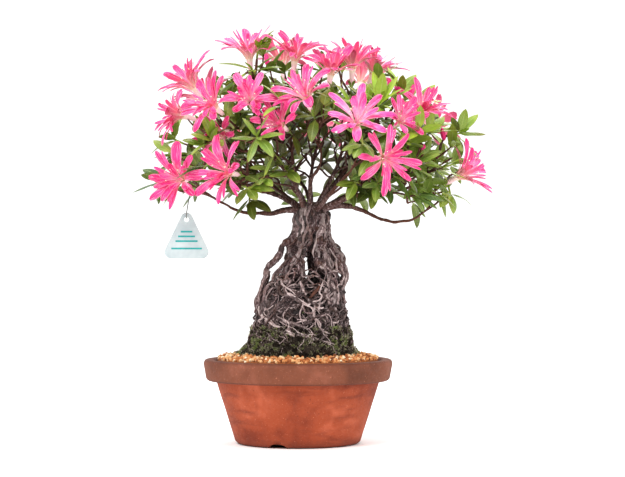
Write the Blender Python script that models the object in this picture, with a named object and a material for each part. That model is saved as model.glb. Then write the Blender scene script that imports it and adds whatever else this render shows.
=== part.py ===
import math
import random

import bmesh
import bpy
from mathutils import Vector
from mathutils.bvhtree import BVHTree

# Satsuki azalea bonsai in a round clay training pot
# Lengths are in millimetres from the pot's axis and the ground, and turn into metres in put()

MM = 0.001
GAP = 0.4
POT_H = 80.7
POT_FOOT_R = 60.5
POT_COLLAR_R = 90.2
DRAIN_R = 11.0
NOTCH_W = 17.5
NOTCH_H = 4.0
FLOOR_Z = 11.0
SOIL_TOP = 82.3
BALL_R = 41.0
BALL_FOOT = 46.0
MOSS_FOOT_R = 58.5
CROWN = Vector((14.0, 0.0, 262.0))

# Pot wall, as radius and height, round the whole section
POT_SECTION = [
    (DRAIN_R, 3.4), (50.0, 3.4), (52.0, 0.0), (57.8, 0.0), (POT_FOOT_R, 2.6), (79.0, 60.2),
    (86.4, 60.2), (88.0, 62.0), (POT_COLLAR_R, 77.0), (89.2, 79.8), (86.5, POT_H),
    (82.0, POT_H), (79.4, 79.2), (78.4, 75.0), (73.0, 62.0), (55.0, 13.0), (53.0, FLOOR_Z),
    (DRAIN_R, FLOOR_Z)]

# Exposed roots, as x, y, z and radius down from the trunk
ROOTS = [
    [(-2, -6, 201, 4.6), (-14, -8, 190, 3.2), (-20, -8, 179, 3.0), (-28, -8, 169, 3.0),
     (-30, -6, 161, 3.0), (-34, -5, 152, 3.3), (-38, -4, 138, 3.5), (-39, -3, 125, 3.2)],
    [(5, -4, 198, 7.5), (-2, -5, 187, 6.2), (-2, -7, 179, 6.6), (-8, -9, 168, 5.2),
     (-12, -10, 157, 5.2), (-20, -14, 145, 5.0), (-27, -17, 132, 4.6)],
    [(6, -5, 192, 6.5), (0, -8, 178, 5.5), (2, -12, 165, 4.5), (3, -16, 155, 4.5),
     (8, -24, 143, 4.2), (10, -32, 130, 4.2)],
    [(16, -7, 202, 7.0), (20.5, -10, 187, 5.2), (20, -11, 175, 4.8), (24, -12, 167, 4.6),
     (32, -12, 163, 4.2), (36, -12, 152, 4.5), (37, -12, 138, 4.2), (38, -11, 125, 3.4)],
    [(24, 0, 199, 6.0), (33, 0, 189, 4.6), (38.5, -2, 179, 5.0), (40.5, -3, 170, 3.8),
     (44, -3, 161, 3.6), (41, -3, 151, 4.0), (40, -3, 138, 4.0), (39, -2, 125, 3.4)],
    [(6, 8, 198, 7.5), (-1, 12, 183, 5.8), (-4, 15, 169, 5.6), (-14, 20, 152, 5.6),
     (-24, 24, 134, 4.8)],
    [(17, 8, 198, 7.5), (14, 14, 183, 5.8), (14, 19, 169, 5.6), (22, 26, 151, 5.6),
     (27, 29, 134, 4.8)],
    [(28, 4, 190, 5.0), (34, 12, 176, 4.4), (30, 20, 163, 4.4), (36, 20, 148, 4.2),
     (36, 18, 132, 3.8)],
]

# Main branches, as points and the radius at both ends
BRANCHES = [
    (6.0, 2.4, [(14, -2, 222), (36, -5, 228), (51, -8, 227), (63, -10, 222), (75, -12, 217.5),
                (87, -14, 213), (98, -15, 212.5), (111, -15, 216), (124, -14, 224),
                (136, -14, 234), (141, -14, 241)]),
    (6.0, 1.8, [(10, -2, 222), (-8, -8, 224), (-27, -10, 220.5), (-52, -10, 222),
                (-71, -10, 230), (-83, -10, 237), (-97, -12, 245), (-107, -13, 249)]),
    (3.4, 1.5, [(8, -6, 222), (2, -18, 235), (-3, -28, 255), (-7, -30, 290), (-14, -30, 307),
                (-22, -30, 320), (-36, -29, 334)]),
    (3.6, 1.5, [(12, -4, 222), (12, -20, 249), (20, -35, 265), (22, -42, 277),
                (19, -48, 292), (17, -50, 304)]),
    (4.0, 1.6, [(8, 2, 223), (-20, 5, 238), (-45, 8, 245), (-75, 10, 262), (-96, 10, 285)]),
    (4.0, 1.6, [(16, -2, 223), (50, -18, 236), (69, -22, 239), (88, -25, 240),
                (110, -30, 247), (125, -28, 265), (135, -25, 278)]),
    (4.0, 1.6, [(9, 5, 222), (-15, 30, 240), (-40, 50, 262), (-62, 60, 288), (-74, 62, 312)]),
    (4.0, 1.6, [(17, 5, 222), (45, 32, 238), (75, 48, 256), (103, 52, 278)]),
    (3.8, 1.6, [(13, 4, 224), (12, 20, 255), (18, 35, 285), (22, 42, 315), (20, 42, 335)]),
    (3.6, 1.5, [(16, -5, 221), (32, -38, 240), (48, -68, 258), (56, -82, 272)]),
    (3.6, 1.5, [(16, 0, 224), (34, 4, 258), (46, 4, 290), (54, 2, 315), (57, 0, 330)]),
    (4.0, 1.6, [(10, 0, 224), (-12, 2, 262), (-38, 0, 290), (-60, -6, 310), (-76, -10, 319)]),
    (4.0, 1.6, [(12, 6, 221), (10, 45, 238), (0, 75, 258), (-9, 93, 278)]),
    (4.0, 1.5, [(16, 4, 224), (50, 28, 268), (80, 42, 298), (90, 46, 314)]),
]

# Blooms, as throat, facing, strap length and the half angle they open to
BLOOMS = [
    ("bloom_show", (54, -112, 301), (0.05, -0.90, 0.42), 37, 83),
    ("bloom_right_low", (79, -106, 270), (0.25, -0.92, -0.10), 35, 85),
    ("bloom_left_low", (-108, -60, 252), (-0.35, -0.90, 0.05), 36, 77),
    ("bloom_fan", (-62, -84, 257), (-0.55, -0.80, 0.10), 37, 85),
    ("bloom_left_front", (-76, -76, 318), (-0.50, -0.72, 0.45), 35, 83),
    ("bloom_top_left", (-46, -26, 367), (-0.10, -0.35, 0.93), 37, 87),
    ("bloom_top_mid", (-3, -36, 364), (0.10, -0.35, 0.93), 35, 85),
    ("bloom_top_right", (52, -12, 358), (0.05, -0.25, 0.96), 37, 79),
    ("bloom_crest_right", (72, 18, 355), (0.35, -0.10, 0.92), 35, 87),
    ("bloom_far_right", (152, -25, 255), (0.75, -0.45, 0.45), 37, 83),
    ("bloom_right_high", (115, -46, 312), (0.30, -0.55, 0.78), 35, 85),
    ("bloom_left_high", (-98, -28, 339), (-0.60, -0.25, 0.75), 37, 85),
    ("bloom_centre", (8, -76, 325), (-0.35, -0.62, 0.70), 34, 83),
    ("bloom_centre_high", (31, -50, 350), (0.15, -0.40, 0.90), 33, 79),
    ("bloom_left_side", (-107, -42, 312), (-0.88, -0.30, 0.25), 34, 85),
    ("bloom_inner_left", (-44, -62, 324), (-0.10, -0.85, 0.35), 29, 79),
    ("bloom_inner_low", (-15, -64, 302), (-0.40, -0.85, 0.30), 30, 71),
    ("bloom_behind_left", (-70, -50, 295), (-0.30, -0.60, -0.15), 29, 75),
    ("bloom_behind_right", (95, -72, 305), (0.30, -0.75, 0.30), 28, 77),
    ("bloom_back_left", (-90, 62, 332), (-0.50, 0.45, 0.70), 37, 85),
    ("bloom_back_top", (-16, 66, 366), (-0.10, 0.35, 0.92), 37, 85),
    ("bloom_back_high", (62, 74, 350), (0.25, 0.50, 0.80), 35, 85),
    ("bloom_back_right", (124, 60, 305), (0.65, 0.55, 0.45), 37, 85),
    ("bloom_back_mid", (22, 114, 306), (0.05, 0.92, 0.40), 36, 83),
    ("bloom_back_low", (-62, 98, 290), (-0.45, 0.80, 0.30), 36, 83),
]

# Leafy shoots in front, as foot and the point of each leaf
SHOOTS = [
    ("shoot_top", (-38, -30, 374), [(-34, -30, 396), (-46, -36, 393), (-22, -38, 390),
                                    (-54, -42, 384), (-24, -48, 378)]),
    ("shoot_left_crest", (-41, -46, 353), [(-76, -50, 361), (-63, -58, 339), (-19, -60, 368),
                                           (-14, -60, 357)]),
    ("shoot_left_dark", (-54, -58, 347), [(-73, -70, 331), (-61, -76, 326), (-81, -68, 342)]),
    ("shoot_front_star", (-37, -96, 289), [(-50, -104, 307), (-26, -104, 310), (-12, -108, 292),
                                           (-22, -108, 271), (-45, -108, 266), (-61, -108, 284)]),
    ("shoot_left_mid", (-87, -60, 280), [(-107, -72, 288), (-97, -70, 302), (-78, -74, 301),
                                         (-64, -72, 300), (-103, -80, 270)]),
    ("shoot_left_arch", (-82, -72, 266), [(-107, -98, 246), (-114, -90, 254), (-120, -84, 262),
                                          (-89, -102, 246), (-69, -100, 250)]),
    ("shoot_left_tip", (-124, -30, 252), [(-157, -34, 240), (-147, -52, 257), (-133, -22, 229),
                                          (-149, -12, 263), (-133, -46, 232)]),
    ("shoot_left_low", (-48, -72, 244), [(-30, -90, 254), (-37, -92, 232), (-56, -90, 228),
                                         (-21, -80, 241)]),
    ("shoot_centre_low", (-9, -62, 259), [(-21, -78, 275), (6, -80, 272), (2, -84, 248),
                                          (-26, -82, 254)]),
    ("shoot_under_left", (-46, -20, 235), [(-57, -36, 219), (-41, -38, 214), (-25, -34, 222),
                                           (-62, -30, 214)]),
    ("shoot_centre_top", (34, -80, 322), [(28, -92, 342), (42, -92, 341), (51, -98, 322),
                                          (17, -96, 331)]),
    ("shoot_right_lime", (75, -58, 319), [(59, -62, 346), (52, -72, 338), (71, -52, 350),
                                          (80, -68, 351), (90, -56, 349), (99, -66, 344),
                                          (107, -68, 337)]),
    ("shoot_right_long", (99, -32, 326), [(126, -46, 328), (114, -28, 346), (105, -14, 350),
                                          (93, -56, 306)]),
    ("shoot_right_oval", (113, -76, 294), [(122, -88, 318), (88, -90, 318), (133, -94, 298),
                                           (93, -98, 285)]),
    ("shoot_right_end", (150, -14, 296), [(160, -24, 320), (173, -8, 316), (179, -26, 296),
                                          (147, -34, 312), (159, -34, 279), (169, -18, 272)]),
    ("shoot_under_show", (59, -118, 285), [(40, -130, 276), (51, -132, 265), (69, -134, 266),
                                           (83, -130, 285)]),
    ("shoot_right_mid", (106, -72, 262), [(96, -86, 284), (121, -84, 283), (132, -80, 275),
                                          (80, -88, 264), (125, -92, 253)]),
    ("shoot_centre_right", (56, -58, 249), [(41, -74, 265), (46, -76, 232), (74, -80, 257),
                                            (32, -70, 246)]),
    ("shoot_right_under", (72, -32, 247), [(85, -50, 229), (69, -48, 224), (56, -52, 231),
                                           (95, -48, 241)]),
    ("shoot_right_droop", (122, -44, 250), [(132, -54, 237), (108, -58, 233), (121, -50, 225),
                                            (99, -44, 234), (141, -54, 250)]),
    ("shoot_far_under", (145, -12, 243), [(166, -22, 228), (148, -28, 220), (131, -28, 226)]),
]

# Leafy shoots at the back and sides, as foot, facing and number of leaves
BACK_SHOOTS = [
    ("shoot_back_crest", (12, 88, 344), (0.0, 0.45, 0.89), 6),
    ("shoot_back_left", (-118, 30, 292), (-0.85, 0.30, 0.40), 6),
    ("shoot_back_low_left", (-104, 72, 262), (-0.70, 0.65, 0.10), 6),
    ("shoot_back_right", (96, 92, 272), (0.45, 0.80, 0.30), 6),
    ("shoot_back_side", (148, 30, 268), (0.90, 0.25, 0.30), 6),
    ("shoot_back_low", (-18, 112, 262), (-0.10, 0.97, 0.15), 6),
]


def clear_scene():
    for ob in list(bpy.data.objects):
        bpy.data.objects.remove(ob, do_unlink=True)


def make_material(name, colour, roughness):
    mat = bpy.data.materials.new(name)
    mat.use_nodes = True
    shader = mat.node_tree.nodes["Principled BSDF"]
    shader.inputs["Base Color"].default_value = (*colour, 1.0)
    shader.inputs["Roughness"].default_value = roughness
    mat.diffuse_color = (*colour, 1.0)
    return mat


def put(name, verts, faces, mat):
    mesh = bpy.data.meshes.new(name)
    mesh.from_pydata([Vector(v) * MM for v in verts], [], faces)
    bm = bmesh.new()
    bm.from_mesh(mesh)
    bmesh.ops.recalc_face_normals(bm, faces=bm.faces)
    bmesh.ops.triangulate(bm, faces=bm.faces)
    bm.to_mesh(mesh)
    bm.free()
    mesh.materials.append(mat)
    ob = bpy.data.objects.new(name, mesh)
    bpy.context.scene.collection.objects.link(ob)
    return ob


def apply_modifiers(ob):
    deps = bpy.context.evaluated_depsgraph_get()
    mesh = bpy.data.meshes.new_from_object(ob.evaluated_get(deps))
    ob.modifiers.clear()
    ob.data = mesh


def bodies(bm):
    # Groups of faces joined across an edge, the largest first
    left = set(bm.faces)
    groups = []
    while left:
        seed = left.pop()
        group = {seed}
        rim = [seed]
        while rim:
            face = rim.pop()
            for edge in face.edges:
                for other in edge.link_faces:
                    if other in left:
                        left.discard(other)
                        group.add(other)
                        rim.append(other)
        groups.append(group)
    groups.sort(key=len, reverse=True)
    return groups


def drop_scraps(ob, flat=False):
    # Keeps the largest body, and joins flat faces that a cut left in pieces
    bm = bmesh.new()
    bm.from_mesh(ob.data)
    bmesh.ops.remove_doubles(bm, verts=bm.verts, dist=0.00002)
    if flat:
        bmesh.ops.dissolve_limit(bm, angle_limit=0.012, verts=bm.verts, edges=bm.edges)
    bmesh.ops.triangulate(bm, faces=bm.faces)
    spare = [f for group in bodies(bm)[1:] for f in group]
    bmesh.ops.delete(bm, geom=spare, context="FACES")
    bm.to_mesh(ob.data)
    bm.free()


def sound(ob):
    # One closed body
    bm = bmesh.new()
    bm.from_mesh(ob.data)
    closed = all(len(e.link_faces) == 2 for e in bm.edges)
    single = len(bodies(bm)) == 1
    bm.free()
    return closed and single


def fuse_once(name, solids, mat, solver):
    first = put(name, *solids[0], mat)
    group = bpy.data.collections.new(name + "_pieces")
    bpy.context.scene.collection.children.link(group)
    for verts, faces in solids[1:]:
        piece = put(name + "_piece", verts, faces, mat)
        bpy.context.scene.collection.objects.unlink(piece)
        group.objects.link(piece)
    union = first.modifiers.new("union", "BOOLEAN")
    union.operation = "UNION"
    union.operand_type = "COLLECTION"
    union.collection = group
    union.solver = solver
    apply_modifiers(first)
    for piece in list(group.objects):
        bpy.data.objects.remove(piece, do_unlink=True)
    bpy.data.collections.remove(group)
    drop_scraps(first, True)
    return first


def fuse(name, solids, mat):
    # One union of all the pieces, nudged a little where a solver leaves an open edge
    rng = random.Random(name)
    for nudge in (0.0, 0.0, 0.04, 0.04, 0.08, 0.08, 0.12, 0.12):
        moved = []
        for verts, faces in solids:
            step = Vector([rng.uniform(-nudge, nudge) for k in range(3)])
            moved.append(([Vector(v) + step for v in verts], faces))
        for solver in ("EXACT", "MANIFOLD"):
            ob = fuse_once(name, moved, mat, solver)
            if sound(ob):
                return ob
            bpy.data.objects.remove(ob, do_unlink=True)
    return fuse_once(name, solids, mat, "EXACT")


def cut(ob, cutters, solver="EXACT"):
    for cutter in cutters:
        cutter.hide_render = True
        cutter.display_type = "WIRE"
        hole = ob.modifiers.new("cut", "BOOLEAN")
        hole.operation = "DIFFERENCE"
        hole.object = cutter
        hole.solver = solver
    apply_modifiers(ob)
    for cutter in cutters:
        bpy.data.objects.remove(cutter, do_unlink=True)


def lathe(section, count, capped=False):
    # Turns a section round the axis: a closed one, or an open one capped at both ends
    verts = []
    faces = []
    rows = len(section)
    for i in range(count):
        a = math.tau * i / count
        for r, z in section:
            verts.append((r * math.cos(a), r * math.sin(a), z))
    for i in range(count):
        j = (i + 1) % count
        for k in range(rows - 1 if capped else rows):
            n = (k + 1) % rows
            faces.append((i * rows + k, j * rows + k, j * rows + n, i * rows + n))
    if capped:
        faces.append(tuple(i * rows for i in range(count)))
        faces.append(tuple(i * rows + rows - 1 for i in range(count - 1, -1, -1)))
    return verts, faces


def side_frame(along):
    up = Vector((0, 0, 1)) if abs(along.z) < 0.9 else Vector((1, 0, 0))
    side = along.cross(up).normalized()
    return side, side.cross(along).normalized()


def tube(points, radii, sides, turn=0.0):
    # A round stem through the points
    points = [Vector(p) for p in points]
    verts = []
    faces = []
    last = len(points) - 1
    side = None
    for i, p in enumerate(points):
        along = (points[min(i + 1, last)] - points[max(i - 1, 0)]).normalized()
        if side is None:
            side = side_frame(along)[0]
        side = (side - along * side.dot(along)).normalized()
        other = along.cross(side)
        for k in range(sides):
            a = math.tau * k / sides + turn
            verts.append(p + (side * math.cos(a) + other * math.sin(a)) * radii[i])
    for i in range(last):
        for k in range(sides):
            n = (k + 1) % sides
            faces.append((i * sides + k, i * sides + n, (i + 1) * sides + n, (i + 1) * sides + k))
    faces.append(tuple(range(sides - 1, -1, -1)))
    faces.append(tuple(last * sides + k for k in range(sides)))
    return verts, faces


def curve_point(a, b, c, d, t):
    s = 1.0 - t
    return a * s ** 3 + b * (3 * s * s * t) + c * (3 * s * t * t) + d * t ** 3


def blade_line(start, first, last, side, length, steps):
    # Centre line that bends from the first heading to the last one
    points = [start.copy()]
    heads = [first.copy()]
    pos = start.copy()
    for i in range(steps):
        t = (i + 0.5) / steps
        head = (first * (1 - t) + last * t).normalized()
        pos = pos + head * (length / steps)
        points.append(pos.copy())
        t = (i + 1) / steps
        heads.append((first * (1 - t) + last * t).normalized())
    faces = [h.cross(side).normalized() for h in heads]
    return points, heads, faces


def blade(start, first, last, side, length, widths, stops, thick):
    # A petal or a leaf: raised along its middle, thin at its edges, pointed at its tip
    steps = 10
    points, heads, tops = blade_line(start, first, last, side, length, steps)
    verts = []
    faces = []
    for stop, width in zip(stops, widths):
        k = int(round(stop * steps))
        across = tops[k].cross(heads[k]).normalized()
        verts.append(points[k] - across * width * 0.5 + tops[k] * 0.35)
        verts.append(points[k] + across * width * 0.5 + tops[k] * 0.35)
        verts.append(points[k] - tops[k] * (thick - 0.35))
    rows = len(stops)
    for i in range(rows - 1):
        for k in range(3):
            n = (k + 1) % 3
            faces.append((i * 3 + k, i * 3 + n, (i + 1) * 3 + n, (i + 1) * 3 + k))
    verts.append(points[steps])
    tip = len(verts) - 1
    foot = (rows - 1) * 3
    faces.append((0, 2, 1))
    for k in range(3):
        faces.append((foot + k, foot + (k + 1) % 3, tip))
    return verts, faces


def far_part(verts, faces):
    # The blade without its root
    kept = [tuple(k - 3 for k in f) for f in faces if min(f) >= 3]
    return verts[3:], kept + [(0, 2, 1)]


class Space:
    # What has been placed so far, asked before each new blade is placed
    def __init__(self):
        self.items = []

    def add(self, owner, verts, faces):
        verts = [Vector(v) for v in verts]
        low = Vector([min(v[k] for v in verts) for k in range(3)])
        high = Vector([max(v[k] for v in verts) for k in range(3)])
        self.items.append((owner, low, high, BVHTree.FromPolygons(verts, faces)))

    def clear_of(self, owners, verts, faces, room):
        verts = [Vector(v) for v in verts]
        centre = sum(verts, Vector()) / len(verts)
        low = Vector([min(v[k] for v in verts) - room for k in range(3)])
        high = Vector([max(v[k] for v in verts) + room for k in range(3)])
        tree = None
        for other, a, b, shape in self.items:
            if other in owners:
                continue
            if any(a[k] > high[k] or b[k] < low[k] for k in range(3)):
                continue
            if tree is None:
                tree = BVHTree.FromPolygons(verts, faces)
            if tree.overlap(shape):
                return False
            for v in verts:
                if shape.find_nearest(v, room)[0] is not None:
                    return False
            mids = [sum((verts[k] for k in f), Vector()) / len(f) for f in faces]
            for v in mids:
                if shape.find_nearest(v, room)[0] is not None:
                    return False
        return True


def round_about(axis):
    side, other = side_frame(axis)
    return side, other


def petal(bloom, k, count, swing, opening, reach):
    # Strap petal number k, from inside the tube out to its tip
    name, throat, axis, length, open_to = bloom
    rng = random.Random(name + str(k))
    axis = Vector(axis).normalized()
    throat = Vector(throat)
    side, other = round_about(axis)
    a = math.tau * (k + rng.uniform(-0.08, 0.08)) / count + swing
    out = side * math.cos(a) + other * math.sin(a)
    around = axis.cross(out).normalized()
    tilt = math.radians(rng.uniform(16, 30))
    end = math.radians(open_to + rng.uniform(-16, 26) + opening)
    lean = rng.uniform(-0.22, 0.22)
    first = (axis * math.cos(tilt) + out * math.sin(tilt)).normalized()
    last = (axis * math.cos(end) + out * math.sin(end) + around * lean).normalized()
    long = (length + 2.0) * rng.uniform(0.88, 1.08) * reach
    wide = rng.choice((6.0, 6.6, 7.4, 8.4, 10.0))
    start = throat - axis * 1.6 + out * 2.3
    return start, first, last, around, long, wide


PETAL_STOPS = (0.0, 0.4, 0.8)


def petal_solid(start, first, last, side, length, wide):
    return blade(start, first, last, side, length, (1.0, wide * 0.62, wide), PETAL_STOPS, 1.0)


def bloom_core(bloom):
    # Tube, calyx and stalk
    name, throat, axis, length, open_to = bloom
    axis = Vector(axis).normalized()
    throat = Vector(throat)
    stops = (-24.0, -15.0, -5.5, 0.6)
    return tube([throat + axis * s for s in stops], (1.0, 1.6, 2.6, 3.6), 5)


def leaf(foot, tip, bend):
    foot = Vector(foot)
    tip = Vector(tip)
    chord = tip - foot
    straight = chord.normalized()
    rise = Vector((0, 0, 1)) - straight * straight.z
    outward = foot - CROWN
    outward = outward - straight * outward.dot(straight)
    lift = (rise.normalized() * 0.75 + outward.normalized() * 0.5).normalized()
    first = (straight + lift * bend).normalized()
    last = (straight - lift * bend * 1.1).normalized()
    side = straight.cross(lift).normalized()
    length = chord.length * (1.0 + bend * bend * 0.18)
    return foot, first, last, side, length


LEAF_STOPS = (0.0, 0.4, 0.7)


def leaf_solid(start, first, last, side, length, wide):
    return blade(start, first, last, side, length, (1.3, wide, wide * 0.8), LEAF_STOPS, 1.0)


def shoot_plans():
    plans = []
    for name, foot, tips in SHOOTS:
        mid = sum((Vector(t) for t in tips), Vector()) / len(tips)
        axis = (mid - Vector(foot)).normalized()
        plans.append((name, Vector(foot), axis, [Vector(t) for t in tips]))
    for name, foot, axis, count in BACK_SHOOTS:
        rng = random.Random(name)
        foot = Vector(foot)
        axis = Vector(axis).normalized()
        side, other = round_about(axis)
        tips = []
        for k in range(count):
            a = math.tau * (k + rng.uniform(-0.2, 0.2)) / count
            out = side * math.cos(a) + other * math.sin(a)
            rise = math.radians(rng.uniform(12, 50))
            reach = rng.uniform(24, 32)
            tips.append(foot + (out * math.cos(rise) + axis * math.sin(rise)) * reach)
        plans.append((name, foot, axis, tips))
    return plans


def branch_tubes():
    tubes = []
    for start, end, path in BRANCHES:
        radii = [start + (end - start) * i / (len(path) - 1) for i in range(len(path))]
        tubes.append((path, radii, 5 if start > 5 else 4))
    return tubes


def branch_points():
    # Points along every main branch that a twig can leave from
    points = []
    for start, end, path in BRANCHES:
        path = [Vector(p) for p in path]
        total = len(path) - 1
        for i in range(total):
            for s in (0.0, 0.33, 0.66):
                if i == 0 and s < 0.6:
                    continue
                p = path[i].lerp(path[i + 1], s)
                along = (path[i + 1] - path[i]).normalized()
                points.append((p, along))
        points.append((path[-1], (path[-1] - path[-2]).normalized()))
    return points


def twig_path(end, axis, points, pick):
    # From a near point of the branches, round to the foot of a bloom or shoot
    foot = end - axis * 3.0
    back = foot - axis * 14.0
    ranked = []
    for p, along in points:
        span = foot - p
        if span.length < 6.0:
            continue
        cost = (back - p).length + 18.0 * (1.0 - span.normalized().dot(along))
        cost += 30.0 * max(0.0, -span.normalized().dot(axis))
        if p.z > foot.z + 4.0:
            cost += (p.z - foot.z) * 0.6
        ranked.append((cost, tuple(p), p, along))
    ranked.sort(key=lambda row: row[0])
    cost, key, p, along = ranked[min(pick, len(ranked) - 1)]
    span = (foot - p).length
    c1 = p + (along * 0.6 + (foot - p).normalized() * 0.4) * span * 0.35
    c2 = foot - axis * span * 0.35
    count = 2 if span < 26 else 3
    return [curve_point(p, c1, c2, foot, i / count) for i in range(count + 1)] + [end]


def fits(space, name, solid):
    # A blade keeps off everything else, and its outer part off its own neighbours
    outer = far_part(*solid)
    mine = name + " outer"
    if not space.clear_of((name, mine), *solid, 0.6):
        return False
    if not space.clear_of((name,), *outer, 0.1):
        return False
    space.add(name, *solid)
    space.add(mine, *outer)
    return True


def grow():
    # Places stems first, then petals, then leaves, each clear of what is there
    space = Space()
    for path, radii, sides in branch_tubes():
        space.add("tree", *tube(path, radii, sides))
    cores = {}
    for bloom in BLOOMS:
        core = bloom_core(bloom)
        cores[bloom[0]] = core
        space.add(bloom[0], *core)
    shoots = shoot_plans()
    stems = {}
    for name, foot, axis, tips in shoots:
        stem = tube([foot - axis * 7.0, foot + axis * 6.5], (1.1, 1.3), 4)
        stems[name] = stem
        space.add(name, *stem)
    points = branch_points()
    ends = []
    for bloom in BLOOMS:
        axis = Vector(bloom[2]).normalized()
        ends.append((bloom[0], Vector(bloom[1]) - axis * (24.0 + GAP), axis))
    for name, foot, axis, tips in shoots:
        ends.append((name, foot - axis * (7.0 + GAP), axis))
    centre = Vector((14, 0, 235))
    ends.sort(key=lambda row: (row[1] - centre).length)
    twigs = []
    for name, foot, axis in ends:
        best = None
        for pick in range(60):
            path = twig_path(foot, axis, points, pick)
            count = len(path)
            radii = [1.5 - 0.6 * i / (count - 1) for i in range(count)]
            solid = tube(path, radii, 3)
            if best is None:
                best = (path, solid)
            if space.clear_of(("tree",), *solid, 0.3):
                best = (path, solid)
                break
        path, solid = best
        space.add("tree", *solid)
        twigs.append(solid)
        for i in range(1, len(path) - 1):
            points.append((path[i], (path[i + 1] - path[i]).normalized()))
    petals = {}
    for bloom in BLOOMS:
        name = bloom[0]
        rng = random.Random(name)
        count = 8
        if "back" in name:
            count = 7
        if "behind" in name or "inner" in name:
            count = 6
        kept = []
        for k in range(count):
            for swing, opening, reach in PETAL_TRIES:
                plan = petal(bloom, k, count, swing, opening, reach)
                solid = petal_solid(*plan)
                if fits(space, name, solid):
                    kept.append(plan)
                    break
        petals[name] = kept
    leaves = {}
    for name, foot, axis, tips in shoots:
        rng = random.Random(name + "leaf")
        kept = []
        for k, tip in enumerate(tips):
            root = foot + axis * (5.6 - 7.0 * k / len(tips))
            wide = rng.uniform(8.4, 10.8)
            bend = rng.uniform(0.15, 0.5)
            for shift, reach in LEAF_TRIES:
                moved = foot + (Vector(tip) + Vector(shift) - foot) * reach
                plan = (*leaf(root, moved, bend), wide)
                solid = leaf_solid(*plan)
                if fits(space, name, solid):
                    kept.append(plan)
                    break
        leaves[name] = kept
    return cores, stems, twigs, petals, leaves


PETAL_TRIES = [
    (0.0, 0, 1.0), (0.0, -14, 1.0), (0.0, 14, 1.0), (0.16, 0, 1.0), (-0.16, 0, 1.0),
    (0.0, -26, 1.0), (0.0, 28, 0.95), (0.0, 0, 0.8), (0.16, -18, 0.9), (-0.16, -18, 0.9),
    (0.0, -34, 0.8), (0.0, 30, 0.75), (0.0, 0, 0.62), (0.0, -34, 0.62)]
LEAF_TRIES = [
    ((0, 0, 0), 1.0), ((0, 0, 4), 1.0), ((0, -4, -4), 1.0), ((4, -3, 0), 1.0),
    ((-4, -3, 0), 1.0), ((0, -7, 2), 0.95), ((5, -4, 5), 0.95), ((-5, -4, 5), 0.95),
    ((0, -6, -7), 0.95), ((0, 0, 0), 0.78), ((0, -5, 6), 0.75), ((0, -5, -6), 0.75),
    ((8, 0, 8), 0.8), ((-8, 0, 8), 0.8), ((8, 0, -8), 0.8), ((-8, 0, -8), 0.8),
    ((0, 10, 8), 0.8), ((0, 10, -8), 0.8), ((0, -12, 0), 0.8), ((0, 0, 0), 0.62)]


def pot(mat):
    ob = put("pot", *lathe(POT_SECTION, 30), mat)
    cutters = []
    for k in range(3):
        a = math.radians(-108.6 + 120 * k)
        out = Vector((math.cos(a), math.sin(a), 0))
        across = Vector((-out.y, out.x, 0)) * NOTCH_W / 2
        verts = []
        for z in (-2.0, NOTCH_H - 0.9):
            for r, s in ((46, -1), (46, 1), (66, 1), (66, -1)):
                verts.append(out * r + across * s + Vector((0, 0, z)))
        faces = [(0, 1, 2, 3), (7, 6, 5, 4), (0, 4, 5, 1), (1, 5, 6, 2), (2, 6, 7, 3), (3, 7, 4, 0)]
        cutters.append(put("notch_%d" % k, verts, faces, mat))
    cut(ob, cutters)
    drop_scraps(ob)
    return ob


def drain_screen(mat):
    # A round of flat mesh with square holes
    bm = bmesh.new()
    size = 3
    step = 8.4
    strip = 2.2
    z = FLOOR_Z + GAP
    edges = []
    for i in range(size):
        edges += [(i - size / 2) * step, (i - size / 2) * step + strip]
    edges += [size / 2 * step, size / 2 * step + strip]
    count = len(edges)
    grid = {}

    def vert(i, j, top):
        key = (i, j, top)
        if key not in grid:
            x = edges[i] - strip / 2
            y = edges[j] - strip / 2
            grid[key] = bm.verts.new(Vector((x, y, z + (1.0 if top else 0.0))) * MM)
        return grid[key]

    solid = {(i, j) for i in range(count - 1) for j in range(count - 1)
             if i % 2 == 0 or j % 2 == 0}
    for i, j in solid:
        bm.faces.new([vert(i, j, 1), vert(i + 1, j, 1), vert(i + 1, j + 1, 1), vert(i, j + 1, 1)])
        bm.faces.new([vert(i, j, 0), vert(i, j + 1, 0), vert(i + 1, j + 1, 0), vert(i + 1, j, 0)])
        for di, dj, a, b in ((-1, 0, (0, 1), (0, 0)), (1, 0, (1, 0), (1, 1)),
                             (0, -1, (0, 0), (1, 0)), (0, 1, (1, 1), (0, 1))):
            if (i + di, j + dj) in solid:
                continue
            p = (i + a[0], j + a[1])
            q = (i + b[0], j + b[1])
            bm.faces.new([vert(*p, 1), vert(*p, 0), vert(*q, 0), vert(*q, 1)])
    bmesh.ops.recalc_face_normals(bm, faces=bm.faces)
    bmesh.ops.triangulate(bm, faces=bm.faces)
    mesh = bpy.data.meshes.new("drain_screen")
    bm.to_mesh(mesh)
    bm.free()
    mesh.materials.append(mat)
    ob = bpy.data.objects.new("drain_screen", mesh)
    bpy.context.scene.collection.objects.link(ob)
    return ob


def soil(mat):
    # Fills the pot round a plain hole for the root ball
    hole = BALL_R + GAP
    section = [
        (22.0, 12.9), (22.0, 11.4), (52.2, 11.4), (54.4, 13.2), (72.0, 62.2), (77.0, 74.4),
        (77.2, 77.8), (62.0, SOIL_TOP), (hole, SOIL_TOP), (hole, BALL_FOOT - GAP)]
    return put("soil", *lathe(section, 24, True), mat)


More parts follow.
